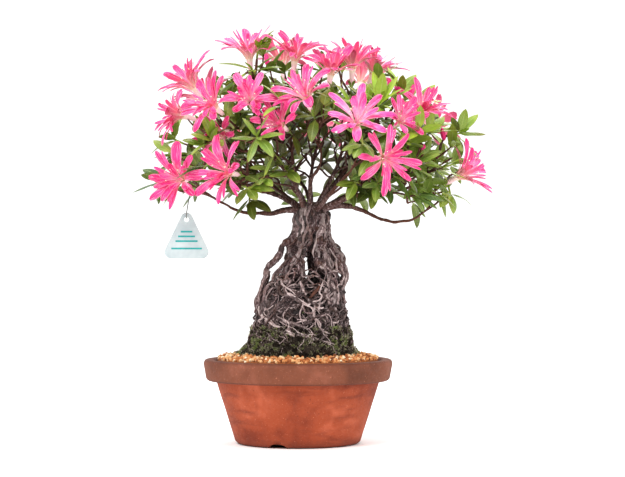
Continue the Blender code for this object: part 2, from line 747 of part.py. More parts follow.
def gravel(mat):
    # Granules over the soil, as one bed of relief
    rng = random.Random(41)
    rings = 4
    count = 56
    verts = []
    faces = []
    inner = MOSS_FOOT_R + 1.8
    outer = 77.6
    for i in range(count):
        a = math.tau * i / count
        for k in range(rings + 1):
            t = k / rings
            r = inner + (outer - inner) * t
            if 0 < k < rings:
                r += rng.uniform(-1.0, 1.0)
            turn = a + rng.uniform(-0.018, 0.018)
            base = 87.2 - 4.6 * t
            lift = rng.uniform(-1.9, 1.6)
            verts.append((r * math.cos(turn), r * math.sin(turn), base + lift))
        verts.append((outer * math.cos(a), outer * math.sin(a), 78.4))
        verts.append((70.0 * math.cos(a), 70.0 * math.sin(a), 81.2))
        verts.append((inner * math.cos(a), inner * math.sin(a), SOIL_TOP + GAP + 0.3))
    rows = rings + 4
    for i in range(count):
        j = (i + 1) % count
        for k in range(rows):
            n = (k + 1) % rows
            faces.append((i * rows + k, j * rows + k, j * rows + n, i * rows + n))
    return put("gravel", verts, faces, mat)


def moss(mat):
    # Skirt of moss round the foot of the root mass
    rng = random.Random(7)
    outer = [(MOSS_FOOT_R, 83.4), (55.6, 89.0), (51.2, 96.0), (48.6, 104.0), (46.6, 111.0)]
    inner = [(BALL_R + 0.5, 112.0), (BALL_R + 0.5, 83.0)]
    count = 40
    verts = []
    faces = []
    for i in range(count):
        a = math.tau * i / count
        crest = rng.uniform(-4.0, 3.0)
        for k, (r, z) in enumerate(outer):
            lump = rng.uniform(-1.6, 1.6) if k else rng.uniform(-1.5, 0.8)
            rise = crest * k / 4 if k else 0.0
            verts.append(((r + lump) * math.cos(a), (r + lump) * math.sin(a), z + rise))
        for k, (r, z) in enumerate(inner):
            rise = crest if k == 0 else 0.0
            verts.append((r * math.cos(a), r * math.sin(a), z + rise))
    rows = len(outer) + len(inner)
    for i in range(count):
        j = (i + 1) % count
        for k in range(rows):
            n = (k + 1) % rows
            faces.append((i * rows + k, j * rows + k, j * rows + n, i * rows + n))
    return put("moss", verts, faces, mat)


def root_mass():
    # Lumpy mound that goes down into the soil as a plain round
    rng = random.Random(23)
    rows = [
        (40.0, BALL_FOOT), (BALL_R, 60.0), (BALL_R, 112.0), (BALL_R, 119.0), (42.0, 124.0),
        (40.0, 131.0), (37.0, 138.0), (30.0, 147.0), (20.0, 155.0), (10.0, 160.0)]
    count = 18
    verts = []
    faces = []
    for k, (r, z) in enumerate(rows):
        for i in range(count):
            a = math.tau * i / count
            s = rng.uniform(-2.0, 2.2) if k > 3 else 0.0
            s = s * 0.5 if k == 4 else s
            verts.append(((r + s) * math.cos(a), (r + s) * math.sin(a), z + s * 0.4))
    for k in range(len(rows) - 1):
        for i in range(count):
            j = (i + 1) % count
            faces.append((k * count + i, k * count + j, (k + 1) * count + j, (k + 1) * count + i))
    faces.append(tuple(range(count - 1, -1, -1)))
    top = (len(rows) - 1) * count
    faces.append(tuple(top + i for i in range(count)))
    return verts, faces


def creeping_roots():
    # Thin roots that run down over the mound
    rng = random.Random(31)
    solids = []
    for k in range(10):
        a = math.tau * (k + rng.uniform(-0.3, 0.3)) / 10
        path = []
        radii = []
        for r, z in ((15, 156), (25, 150), (33, 143), (38.5, 134), (40.5, 126)):
            a += rng.uniform(-0.14, 0.14)
            r += rng.uniform(-0.5, 1.5)
            path.append((r * math.cos(a), r * math.sin(a), z))
            radii.append(rng.uniform(2.0, 3.4))
        solids.append(tube(path, radii, 3))
    return solids


def tree(mat, twigs):
    solids = [root_mass()]
    trunk = [(9, 0, 186), (9, 0, 193), (11, 0, 200), (12, 0, 207), (14, 0, 215), (13.5, 0, 222),
             (13, 0, 229)]
    solids.append(tube(trunk, (9, 14, 16.5, 16.8, 17.4, 15, 8), 9))
    for path in ROOTS:
        solids.append(tube([p[:3] for p in path], [p[3] for p in path], 4))
    solids += creeping_roots()
    for path, radii, sides in branch_tubes():
        solids.append(tube(path, radii, sides))
    solids += twigs
    return fuse("tree", solids, mat)


def tag(mat):
    # Rounded triangle with a hole at its top corner
    centre = Vector((-105.5, -30, 0))
    corners = [((0.0, 215.5), 5.5), ((-15.0, 183.5), 6.0), ((15.0, 183.5), 6.0)]
    starts = (30, 150, 270)
    outline = []
    for (point, r), start in zip(corners, starts):
        for k in range(5):
            a = math.radians(start + 30 * k)
            outline.append((point[0] + r * math.cos(a), point[1] + r * math.sin(a)))
    hole = [(2.4 * math.cos(math.tau * k / 15), 214.5 + 2.4 * math.sin(math.tau * k / 15))
            for k in range(15)]
    shift = 1
    verts = []
    for y in (-0.7, 0.7):
        for x, z in outline:
            verts.append(centre + Vector((x, y, z)))
        for k in range(15):
            x, z = hole[(k + shift) % 15]
            verts.append(centre + Vector((x, y, z)))
    faces = []
    for k in range(15):
        n = (k + 1) % 15
        faces.append((k, n, 15 + n, 15 + k))
        faces.append((30 + n, 30 + k, 45 + k, 45 + n))
        faces.append((n, k, 30 + k, 30 + n))
        faces.append((15 + k, 15 + n, 45 + n, 45 + k))
    return put("tag", verts, faces, mat)


def tag_hanger(mat):
    # Thin wire, hooked over the branch above and through the tag's hole below
    top = Vector((-103.0, -12.6, 247.3))
    path = []
    for deg in (140, 95, 50, 5, -40, -85):
        a = math.radians(deg)
        path.append(top + Vector((0, 2.95 * math.sin(a), 2.95 * math.cos(a))))
    path.append(Vector((-103.4, -20.0, 238.0)))
    path.append(Vector((-104.6, -29.0, 227.0)))
    path.append(Vector((-105.5, -33.0, 219.5)))
    path.append(Vector((-105.5, -32.4, 216.6)))
    path.append(Vector((-105.5, -30.0, 215.8)))
    path.append(Vector((-105.5, -27.6, 216.6)))
    path.append(Vector((-105.5, -27.0, 219.5)))
    return put("tag_hanger", *tube(path, [0.65] * len(path), 6), mat)


def centre_on_ground():
    # The origin is the middle of the whole object's base
    bpy.context.view_layer.update()
    low = Vector((1e9, 1e9, 1e9))
    high = -low
    for ob in bpy.data.objects:
        for v in ob.data.vertices:
            for k in range(3):
                low[k] = min(low[k], v.co[k])
                high[k] = max(high[k], v.co[k])
    shift = Vector((-(low.x + high.x) / 2, -(low.y + high.y) / 2, -low.z))
    for ob in bpy.data.objects:
        for v in ob.data.vertices:
            v.co += shift


clear_scene()
TERRACOTTA = make_material("terracotta", (0.50, 0.20, 0.11), 0.85)
BARK = make_material("bark", (0.22, 0.14, 0.10), 0.8)
SOIL = make_material("soil", (0.12, 0.08, 0.05), 0.95)
GRANULES = make_material("granules", (0.62, 0.38, 0.20), 0.95)
MOSS = make_material("moss", (0.05, 0.08, 0.03), 0.95)
SCREEN = make_material("screen", (0.05, 0.05, 0.05), 0.6)
PETAL = make_material("petal", (0.80, 0.22, 0.30), 0.5)
LEAF = make_material("leaf", (0.13, 0.26, 0.08), 0.5)
TAG = make_material("tag", (0.85, 0.86, 0.84), 0.4)
WIRE = make_material("wire", (0.45, 0.45, 0.45), 0.4)

pot(TERRACOTTA)
drain_screen(SCREEN)
soil(SOIL)
gravel(GRANULES)
moss(MOSS)
CORES, STEMS, TWIGS, PETALS, LEAVES = grow()
tree(BARK, TWIGS)
tag(TAG)
tag_hanger(WIRE)
for NAME, PLANS in PETALS.items():
    fuse(NAME, [CORES[NAME]] + [petal_solid(*plan) for plan in PLANS], PETAL)
for NAME, PLANS in LEAVES.items():
    fuse(NAME, [STEMS[NAME]] + [leaf_solid(*plan) for plan in PLANS], LEAF)
centre_on_ground()
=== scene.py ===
import math
import random

import bmesh
import bpy
from mathutils import Matrix, Vector, noise
from mathutils.bvhtree import BVHTree


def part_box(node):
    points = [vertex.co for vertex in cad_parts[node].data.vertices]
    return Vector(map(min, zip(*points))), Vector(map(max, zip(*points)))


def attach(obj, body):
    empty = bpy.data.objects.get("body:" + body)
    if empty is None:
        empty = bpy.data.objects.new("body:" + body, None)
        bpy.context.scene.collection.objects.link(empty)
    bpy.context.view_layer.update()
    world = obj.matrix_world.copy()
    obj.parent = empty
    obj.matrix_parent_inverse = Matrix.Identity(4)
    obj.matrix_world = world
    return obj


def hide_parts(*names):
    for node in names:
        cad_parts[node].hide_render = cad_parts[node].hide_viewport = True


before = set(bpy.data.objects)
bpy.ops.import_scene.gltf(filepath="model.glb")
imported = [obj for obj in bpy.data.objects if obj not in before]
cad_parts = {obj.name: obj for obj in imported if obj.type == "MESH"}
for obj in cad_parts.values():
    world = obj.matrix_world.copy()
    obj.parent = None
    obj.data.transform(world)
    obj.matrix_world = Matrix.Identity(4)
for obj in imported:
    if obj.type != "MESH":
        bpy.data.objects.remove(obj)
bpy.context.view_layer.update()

# The pot: a round training pot of coarse terracotta, turned with a thick collar that has
# weathered darker than the body, a foot ring with three notches and one drain hole
FOOT, FOOT_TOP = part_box("pot")
# Lengths are in millimetres from the pot's axis and the ground
AXIS = Vector(((FOOT.x + FOOT_TOP.x) / 2, (FOOT.y + FOOT_TOP.y) / 2, 0))
MM = 0.001


def paint(value):
    # A number is a grey, three are a screen colour from 0 to 255, and four stay as they are
    if isinstance(value, (int, float)):
        return (value, value, value, 1.0)
    if len(value) == 4:
        return value
    parts = [c / 255.0 for c in value]
    return (*[c / 12.92 if c <= 0.04045 else ((c + 0.055) / 1.055) ** 2.4 for c in parts], 1.0)


def blank(name, roughness, **fixed):
    # A material with its constant values set, ready for its colours
    mat = bpy.data.materials.new(name)
    mat.use_nodes = True
    shader = mat.node_tree.nodes["Principled BSDF"]
    shader.inputs["Roughness"].default_value = roughness
    for key, value in fixed.items():
        shader.inputs[key.replace("_", " ")].default_value = value
    return mat, mat.node_tree, shader


def add(tree, kind, inputs=(), **props):
    # A node with its settings, and with each input set or wired
    node = tree.nodes.new(kind)
    for key, value in props.items():
        setattr(node, key, value)
    for key, value in dict(inputs).items():
        socket = node.inputs[key]
        if isinstance(value, bpy.types.NodeSocket):
            tree.links.new(value, socket)
        else:
            socket.default_value = value
    return node


def ramp(tree, fac, stops, mode="EASE"):
    node = add(tree, "ShaderNodeValToRGB", {"Fac": fac})
    node.color_ramp.interpolation = mode
    bands = node.color_ramp.elements
    while len(bands) < len(stops):
        bands.new(0.5)
    for band, (pos, colour) in zip(bands, stops):
        band.position = pos
        band.color = paint(colour)
    return node.outputs["Color"]


def mix(tree, fac, a, b, blend="MIX"):
    a, b = (c if isinstance(c, bpy.types.NodeSocket) else paint(c) for c in (a, b))
    node = add(tree, "ShaderNodeMix", {0: fac, 6: a, 7: b}, data_type="RGBA", blend_type=blend)
    return node.outputs[2]


def over(tree, base, colour, mask, *stops):
    # Lays a colour over the base, as strongly as the stops say for each value of the mask
    return mix(tree, ramp(tree, mask, stops), base, colour)


def sums(tree, op, a, b=0.0):
    return add(tree, "ShaderNodeMath", {0: a, 1: b}, operation=op).outputs[0]


def where(tree):
    # Place on the object, in millimetres
    coord = add(tree, "ShaderNodeTexCoord")
    move = add(tree, "ShaderNodeMapping", {"Vector": coord.outputs["Object"],
                                           "Scale": [1 / MM] * 3})
    return move.outputs["Vector"]


def effect(name, inputs, outputs):
    # An empty node group with named sockets, to be placed in several materials
    tree = bpy.data.node_groups.new(name, "ShaderNodeTree")
    for way, sockets in (("INPUT", inputs), ("OUTPUT", outputs)):
        for key, kind in sockets:
            tree.interface.new_socket(name=key, in_out=way, socket_type="NodeSocket" + kind)
    return tree, tree.nodes.new("NodeGroupInput"), tree.nodes.new("NodeGroupOutput")


def mottling():
    # Soft noise that every surface here has, with lumps of a given size, drawn out or not
    tree, given, result = effect("mottling", [("Stretch", "Vector"), ("Lumps per mm", "Float"),
                                              ("Detail", "Float"), ("Roughness", "Float")],
                                 [("Mask", "Float")])
    coord = add(tree, "ShaderNodeTexCoord")
    move = add(tree, "ShaderNodeMapping", {"Vector": coord.outputs["Object"],
                                           "Scale": given.outputs["Stretch"]})
    lumps = add(tree, "ShaderNodeTexNoise", {
        "Vector": move.outputs["Vector"], "Scale": given.outputs["Lumps per mm"],
        "Detail": given.outputs["Detail"], "Roughness": given.outputs["Roughness"]})
    tree.links.new(lumps.outputs["Fac"], result.inputs["Mask"])
    return tree


MOTTLING = mottling()


def cloud(tree, size, detail=4.0, rough=0.55, stretch=(1, 1, 1)):
    node = add(tree, "ShaderNodeGroup", node_tree=MOTTLING)
    node.inputs["Stretch"].default_value = [s / MM for s in stretch]
    node.inputs["Lumps per mm"].default_value = 1.0 / size
    node.inputs["Detail"].default_value = detail
    node.inputs["Roughness"].default_value = rough
    return node.outputs["Mask"]


def value_of(tree, name):
    # A value that the mesh carries at each of its points
    return add(tree, "ShaderNodeAttribute", attribute_name=name).outputs["Fac"]


def bump(tree, shader, height, strength, depth):
    node = add(tree, "ShaderNodeBump", {"Height": height, "Strength": strength,
                                        "Distance": depth * MM})
    tree.links.new(node.outputs["Normal"], shader.inputs["Normal"])


def link(tree, out, shader, key="Base Color"):
    tree.links.new(out, shader.inputs[key])


def put(name, verts, faces, mat, slot, nodes=(), values=None, smooth=True):
    # A piece of the visual model, placed in the frame under the root body, with the CAD nodes it
    # stands for hidden
    mesh = bpy.data.meshes.new(name)
    mesh.from_pydata([(Vector(v) * MM + AXIS)[:] for v in verts], [], faces)
    for key, data in (values or {}).items():
        layer = mesh.attributes.new(key, "FLOAT", "POINT")
        layer.data.foreach_set("value", data)
    mesh.materials.append(mat)
    mesh.polygons.foreach_set("use_smooth", [smooth] * len(mesh.polygons))
    ob = bpy.data.objects.new(name, mesh)
    bpy.context.scene.collection.objects.link(ob)
    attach(ob, "root")
    if nodes:
        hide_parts(*nodes)
    return ob


def settle(ob):
    # Applies the modifiers and keeps the result
    deps = bpy.context.evaluated_depsgraph_get()
    mesh = bpy.data.meshes.new_from_object(ob.evaluated_get(deps))
    ob.modifiers.clear()
    ob.data = mesh
    mesh.polygons.foreach_set("use_smooth", [True] * len(mesh.polygons))


class Heap:
    # Many small shapes gathered into one mesh, with values per corner
    def __init__(self, *keys):
        self.verts = []
        self.faces = []
        self.values = {key: [] for key in keys}

    def take(self, verts, faces, **values):
        first = len(self.verts)
        self.verts += [tuple(v) for v in verts]
        self.faces += [tuple(first + k for k in f) for f in faces]
        for key, data in self.values.items():
            value = values.get(key, 0.0)
            data += value if isinstance(value, list) else [value] * len(verts)


def rings(count, size, joined=False):
    # Faces between rings of points, with the last ring joined to the first or not
    faces = []
    for i in range(count if joined else count - 1):
        j = (i + 1) % count
        for k in range(size):
            n = (k + 1) % size
            faces.append((i * size + k, i * size + n, j * size + n, j * size + k))
    return faces


def turned(section, count, wave=None):
    # A closed section turned round the pot's axis
    verts = []
    for i in range(count):
        a = math.tau * i / count
        for r, z in section:
            if wave:
                r = wave(a, r, z)
            verts.append((r * math.cos(a), r * math.sin(a), z))
    return verts, rings(count, len(section), True)


LONGEST_SIDE = 4.8


def rounded(corners):
    # A section with each corner (r, z, radius) rounded and long sides cut up
    line = []
    count = len(corners)
    for i, (r, z, radius) in enumerate(corners):
        here = Vector((r, z))
        back = Vector(corners[i - 1][:2]) - here
        on = Vector(corners[(i + 1) % count][:2]) - here
        reach = min(radius, back.length * 0.45, on.length * 0.45)
        a = here + back.normalized() * reach
        b = here + on.normalized() * reach
        parts = 4 if radius > 0.5 else 1
        for k in range(parts + 1):
            t = k / parts
            line.append(a * (1 - t) ** 2 + here * 2 * t * (1 - t) + b * t * t)
    full = []
    for i, p in enumerate(line):
        q = line[(i + 1) % len(line)]
        cuts = max(1, int((q - p).length / LONGEST_SIDE))
        for k in range(cuts):
            full.append(tuple(p.lerp(q, k / cuts)))
    return full


# Pot wall, as radius, height and the radius of the corner
POT_CORNERS = [
    (11.0, 3.4, 0.8), (50.0, 3.4, 0.8), (52.0, 0.2, 0.8), (57.8, 0.2, 0.8), (60.4, 2.0, 1.5),
    (78.9, 60.4, 1.0), (86.6, 60.3, 1.5), (88.6, 62.2, 1.5), (91.2, 77.0, 2.0), (89.6, 80.4, 2.0),
    (86.0, 80.6, 1.5), (82.0, 80.6, 1.5), (79.4, 79.0, 1.5), (78.4, 75.0, 1.0), (73.0, 62.0, 1.0),
    (55.0, 13.0, 1.0), (53.0, 11.0, 1.0), (11.0, 11.0, 0.8)]


def hand_thrown(a, r, z):
    # Small waves that the wheel and the kiln leave
    p = Vector((r * math.cos(a), r * math.sin(a), z * 2.5)) * 0.02
    return r + 0.28 * noise.noise(p) - 0.14


def terracotta():
    # Orange-red body with darker smears, a browner collar, specks and pits; a dark band at the foot
    # of the collar is painted shade under its ledge, and a darker line runs near the top of the lip
    mat, tree, shader = blank("terracotta", 0.8)
    split = add(tree, "ShaderNodeSeparateXYZ", {"Vector": where(tree)})
    height = sums(tree, "DIVIDE", split.outputs["Z"], 100.0)
    collar = ramp(tree, height, [(0.596, 0), (0.608, 1)])
    big = cloud(tree, 42.0, 3.0)
    streak = cloud(tree, 13.0, stretch=(1, 1, 0.22))
    fine = cloud(tree, 2.2, 6.0, 0.7)
    smear = cloud(tree, 14.0, stretch=(0.35, 0.35, 1.6))
    body = ramp(tree, big, [(0.30, (122, 50, 26)), (0.55, (156, 73, 42)), (0.75, (188, 100, 70))])
    body = over(tree, body, (108, 44, 26), smear, (0.5, 0), (0.72, 0.55))
    body = over(tree, body, (126, 56, 34), streak, (0.5, 0), (0.74, 0.35))
    rim = ramp(tree, big, [(0.30, (98, 53, 34)), (0.55, (119, 68, 47)), (0.78, (142, 86, 66))])
    rim = over(tree, rim, (104, 54, 38), streak, (0.56, 0), (0.76, 0.4))
    # Painted shade: a dark band at the foot of the collar, under its ledge; also a darker line near
    # the top of the lip
    rim = over(tree, rim, (86, 42, 30), height, (0.60, 0.75), (0.625, 0), (0.775, 0), (0.80, 0.35))
    colour = mix(tree, collar, body, rim)
    colour = over(tree, colour, (220, 150, 120), cloud(tree, 1.1, 2.0), (0.66, 0), (0.72, 0.5))
    colour = over(tree, colour, (92, 42, 26), cloud(tree, 1.7, 2.0), (0.27, 0.7), (0.33, 0))
    foot = sums(tree, "ADD", height, sums(tree, "MULTIPLY", fine, 0.06))
    colour = over(tree, colour, (112, 52, 32), foot, (0.03, 0.65), (0.13, 0))
    link(tree, colour, shader)
    link(tree, ramp(tree, fine, [(0.3, 0.68), (0.7, 0.92)]), shader, "Roughness")
    bump(tree, shader, fine, 0.35, 0.5)
    return mat


POT = put("pot_body", *turned(rounded(POT_CORNERS), 160, hand_thrown), terracotta(),
          "terracotta", ["pot"])
# Turn of the first notch in degrees, then how far each one reaches up and to the sides
NOTCH_TURN = -108.6
NOTCH_HEIGHT = 0.0038
NOTCH_HALF_WIDTH = 0.0088
for k in range(3):
    # Notches filed out of the foot ring, to let water run off
    a = math.radians(NOTCH_TURN + 120 * k)
    bpy.ops.mesh.primitive_cylinder_add(
        vertices=40, radius=1.0, depth=0.03, rotation=(0, math.pi / 2, a),
        location=Vector((math.cos(a), math.sin(a), 0)) * 0.057 + AXIS)
    cutter = bpy.context.object
    cutter.scale = (NOTCH_HEIGHT, NOTCH_HALF_WIDTH, 1.0)
    cut = POT.modifiers.new("notch", "BOOLEAN")
    cut.operation = "DIFFERENCE"
    cut.object = cutter
    cut.solver = "EXACT"
    settle(POT)
    bpy.data.objects.remove(cutter, do_unlink=True)

# The drain screen: a square of black plastic mesh, laid loose over the drain hole before the
# pot is filled, so that no soil is washed out


def round_about(along):
    # Two directions square to this one
    up = Vector((0, 0, 1)) if abs(along.z) < 0.9 else Vector((1, 0, 0))
    side = along.cross(up).normalized()
    return side, side.cross(along).normalized()


def caps(count, size):
    # The end faces of a run of rings
    return [tuple(range(size - 1, -1, -1)), tuple((count - 1) * size + k for k in range(size))]


def pipe(points, radii, sides, closed=True):
    # A round stem through the points
    points = [Vector(p) for p in points]
    verts = []
    last = len(points) - 1
    side = None
    for i, p in enumerate(points):
        along = (points[min(i + 1, last)] - points[max(i - 1, 0)]).normalized()
        if side is None:
            side = round_about(along)[0]
        side = (side - along * side.dot(along)).normalized()
        other = along.cross(side)
        for k in range(sides):
            a = math.tau * k / sides
            verts.append(p + (side * math.cos(a) + other * math.sin(a)) * radii[i])
    return verts, rings(last + 1, sides) + (caps(last + 1, sides) if closed else [])


def mottled(name, roughness, size, detail, dark, light, **fixed):
    # A material whose colour only drifts between two shades
    mat, tree, shader = blank(name, roughness, **fixed)
    link(tree, ramp(tree, cloud(tree, size, detail), [(0.3, dark), (0.7, light)]), shader)
    return mat


def screen():
    mat = mottled("screen_plastic", 0.55, 1.5, 4.0, (18, 18, 18), (34, 34, 33))
    heap = Heap()
    half = 13.6
    threads = 9
    for k in range(threads):
        s = -half + 2 * half * k / (threads - 1)
        low = 11.6
        high = 11.85
        heap.take(*pipe([(-half, s, low), (half, s, low)], [0.4, 0.4], 6))
        heap.take(*pipe([(s, -half, high), (s, half, high)], [0.4, 0.4], 6))
    put("drain_mesh", heap.verts, heap.faces, mat, "screen", ["drain_screen"])


screen()

# The soil: fired clay granules and humus, packed round the foot of the roots and hidden under
# the gravel


def soil():
    mat, tree, shader = blank("soil_mix", 0.95)
    grains = add(tree, "ShaderNodeTexVoronoi", {"Vector": where(tree), "Scale": 0.35})
    tone = sums(tree, "MULTIPLY", grains.outputs["Distance"], 0.8)
    link(tree, ramp(tree, tone, [(0.1, (120, 84, 54)), (0.5, (58, 38, 24))]), shader)
    bump(tree, shader, tone, 0.8, 1.5)
    section = [
        (22.0, 12.9), (22.0, 11.4), (52.2, 11.4), (54.4, 13.2), (72.0, 62.2), (77.0, 74.4),
        (77.2, 77.8), (62.0, 82.3), (41.4, 82.3), (41.4, 45.6)]
    put("soil_fill", *turned(section, 64), mat, "soil", ["soil"])


soil()

# The tree: one grown satsuki azalea whose roots stand bare as a cage under a swollen trunk,
# with many thin branches that fan out into a dome. Its blooms and shoots are laid out here
# too, because the twigs run to them

CROWN = Vector((14.0, 0.0, 262.0))
GAP = 0.4

# Exposed roots, as x, y, z and radius down from the trunk
ROOTS = [
    [(-2, -6, 201, 4.6), (-14, -8, 190, 3.2), (-20, -8, 179, 3.0), (-28, -8, 169, 3.0),
     (-30, -6, 161, 3.0), (-34, -5, 152, 3.3), (-38, -4, 138, 3.5), (-39, -3, 125, 3.2)],
    [(5, -4, 198, 7.5), (-2, -5, 187, 6.2), (-2, -7, 179, 6.6), (-8, -9, 168, 5.2),
     (-12, -10, 157, 5.2), (-20, -14, 145, 5.0), (-27, -17, 132, 4.6)],
    [(6, -5, 192, 6.5), (0, -8, 178, 5.5), (2, -12, 165, 4.5), (3, -16, 155, 4.5),
     (8, -24, 143, 4.2), (10, -32, 130, 4.2)],
    [(16, -7, 202, 7.0), (20.5, -10, 187, 5.2), (20, -11, 175, 4.8), (24, -12, 167, 4.6),
     (32, -12, 163, 4.2), (36, -12, 152, 4.5), (37, -12, 138, 4.2), (38, -11, 125, 3.4)],
    [(24, 0, 199, 6.0), (33, 0, 189, 4.6), (38.5, -2, 179, 5.0), (40.5, -3, 170, 3.8),
     (44, -3, 161, 3.6), (41, -3, 151, 4.0), (40, -3, 138, 4.0), (39, -2, 125, 3.4)],
    [(6, 8, 198, 7.5), (-1, 12, 183, 5.8), (-4, 15, 169, 5.6), (-14, 20, 152, 5.6),
     (-24, 24, 134, 4.8)],
    [(17, 8, 198, 7.5), (14, 14, 183, 5.8), (14, 19, 169, 5.6), (22, 26, 151, 5.6),
     (27, 29, 134, 4.8)],
    [(28, 4, 190, 5.0), (34, 12, 176, 4.4), (30, 20, 163, 4.4), (36, 20, 148, 4.2),
     (36, 18, 132, 3.8)],
]

# Main branches, as points and the radius at both ends
BRANCHES = [
    (6.0, 2.4, [(14, -2, 222), (36, -5, 228), (51, -8, 227), (63, -10, 222), (75, -12, 217.5),
                (87, -14, 213), (98, -15, 212.5), (111, -15, 216), (124, -14, 224),
                (136, -14, 234), (141, -14, 241)]),
    (6.0, 1.8, [(10, -2, 222), (-8, -8, 224), (-27, -10, 220.5), (-52, -10, 222),
                (-71, -10, 230), (-83, -10, 237), (-97, -12, 245), (-107, -13, 249)]),
    (3.4, 1.5, [(8, -6, 222), (2, -18, 235), (-3, -28, 255), (-7, -30, 290), (-14, -30, 307),
                (-22, -30, 320), (-36, -29, 334)]),
    (3.6, 1.5, [(12, -4, 222), (12, -20, 249), (20, -35, 265), (22, -42, 277),
                (19, -48, 292), (17, -50, 304)]),
    (4.0, 1.6, [(8, 2, 223), (-20, 5, 238), (-45, 8, 245), (-75, 10, 262), (-96, 10, 285)]),
    (4.0, 1.6, [(16, -2, 223), (50, -18, 236), (69, -22, 239), (88, -25, 240),
                (110, -30, 247), (125, -28, 265), (135, -25, 278)]),
    (4.0, 1.6, [(9, 5, 222), (-15, 30, 240), (-40, 50, 262), (-62, 60, 288), (-74, 62, 312)]),
    (4.0, 1.6, [(17, 5, 222), (45, 32, 238), (75, 48, 256), (103, 52, 278)]),
    (3.8, 1.6, [(13, 4, 224), (12, 20, 255), (18, 35, 285), (22, 42, 315), (20, 42, 335)]),
    (3.6, 1.5, [(16, -5, 221), (32, -38, 240), (48, -68, 258), (56, -82, 272)]),
    (3.6, 1.5, [(16, 0, 224), (34, 4, 258), (46, 4, 290), (54, 2, 315), (57, 0, 330)]),
    (4.0, 1.6, [(10, 0, 224), (-12, 2, 262), (-38, 0, 290), (-60, -6, 310), (-76, -10, 319)]),
    (4.0, 1.6, [(12, 6, 221), (10, 45, 238), (0, 75, 258), (-9, 93, 278)]),
    (4.0, 1.5, [(16, 4, 224), (50, 28, 268), (80, 42, 298), (90, 46, 314)]),
]

# Blooms, as throat, facing, strap length and the half angle they open to
BLOOMS = [(name, Vector(throat), Vector(axis).normalized(), length, open_to)
          for name, throat, axis, length, open_to in (
    ("bloom_show", (54, -112, 301), (0.05, -0.90, 0.42), 37, 83),
    ("bloom_right_low", (79, -106, 270), (0.25, -0.92, -0.10), 35, 85),
    ("bloom_left_low", (-108, -60, 252), (-0.35, -0.90, 0.05), 36, 77),
    ("bloom_fan", (-62, -84, 257), (-0.55, -0.80, 0.10), 37, 85),
    ("bloom_left_front", (-76, -76, 318), (-0.50, -0.72, 0.45), 35, 83),
    ("bloom_top_left", (-46, -26, 367), (-0.10, -0.35, 0.93), 37, 87),
    ("bloom_top_mid", (-3, -36, 364), (0.10, -0.35, 0.93), 35, 85),
    ("bloom_top_right", (52, -12, 358), (0.05, -0.25, 0.96), 37, 79),
    ("bloom_crest_right", (72, 18, 355), (0.35, -0.10, 0.92), 35, 87),
    ("bloom_far_right", (152, -25, 255), (0.75, -0.45, 0.45), 37, 83),
    ("bloom_right_high", (115, -46, 312), (0.30, -0.55, 0.78), 35, 85),
    ("bloom_left_high", (-98, -28, 339), (-0.60, -0.25, 0.75), 37, 85),
    ("bloom_centre", (8, -76, 325), (-0.35, -0.62, 0.70), 34, 83),
    ("bloom_centre_high", (31, -50, 350), (0.15, -0.40, 0.90), 33, 79),
    ("bloom_left_side", (-107, -42, 312), (-0.88, -0.30, 0.25), 34, 85),
    ("bloom_inner_left", (-44, -62, 324), (-0.10, -0.85, 0.35), 29, 79),
    ("bloom_inner_low", (-15, -64, 302), (-0.40, -0.85, 0.30), 30, 71),
    ("bloom_behind_left", (-70, -50, 295), (-0.30, -0.60, -0.15), 29, 75),
    ("bloom_behind_right", (95, -72, 305), (0.30, -0.75, 0.30), 28, 77),
    ("bloom_back_left", (-90, 62, 332), (-0.50, 0.45, 0.70), 37, 85),
    ("bloom_back_top", (-16, 66, 366), (-0.10, 0.35, 0.92), 37, 85),
    ("bloom_back_high", (62, 74, 350), (0.25, 0.50, 0.80), 35, 85),
    ("bloom_back_right", (124, 60, 305), (0.65, 0.55, 0.45), 37, 85),
    ("bloom_back_mid", (22, 114, 306), (0.05, 0.92, 0.40), 36, 83),
    ("bloom_back_low", (-62, 98, 290), (-0.45, 0.80, 0.30), 36, 83))]

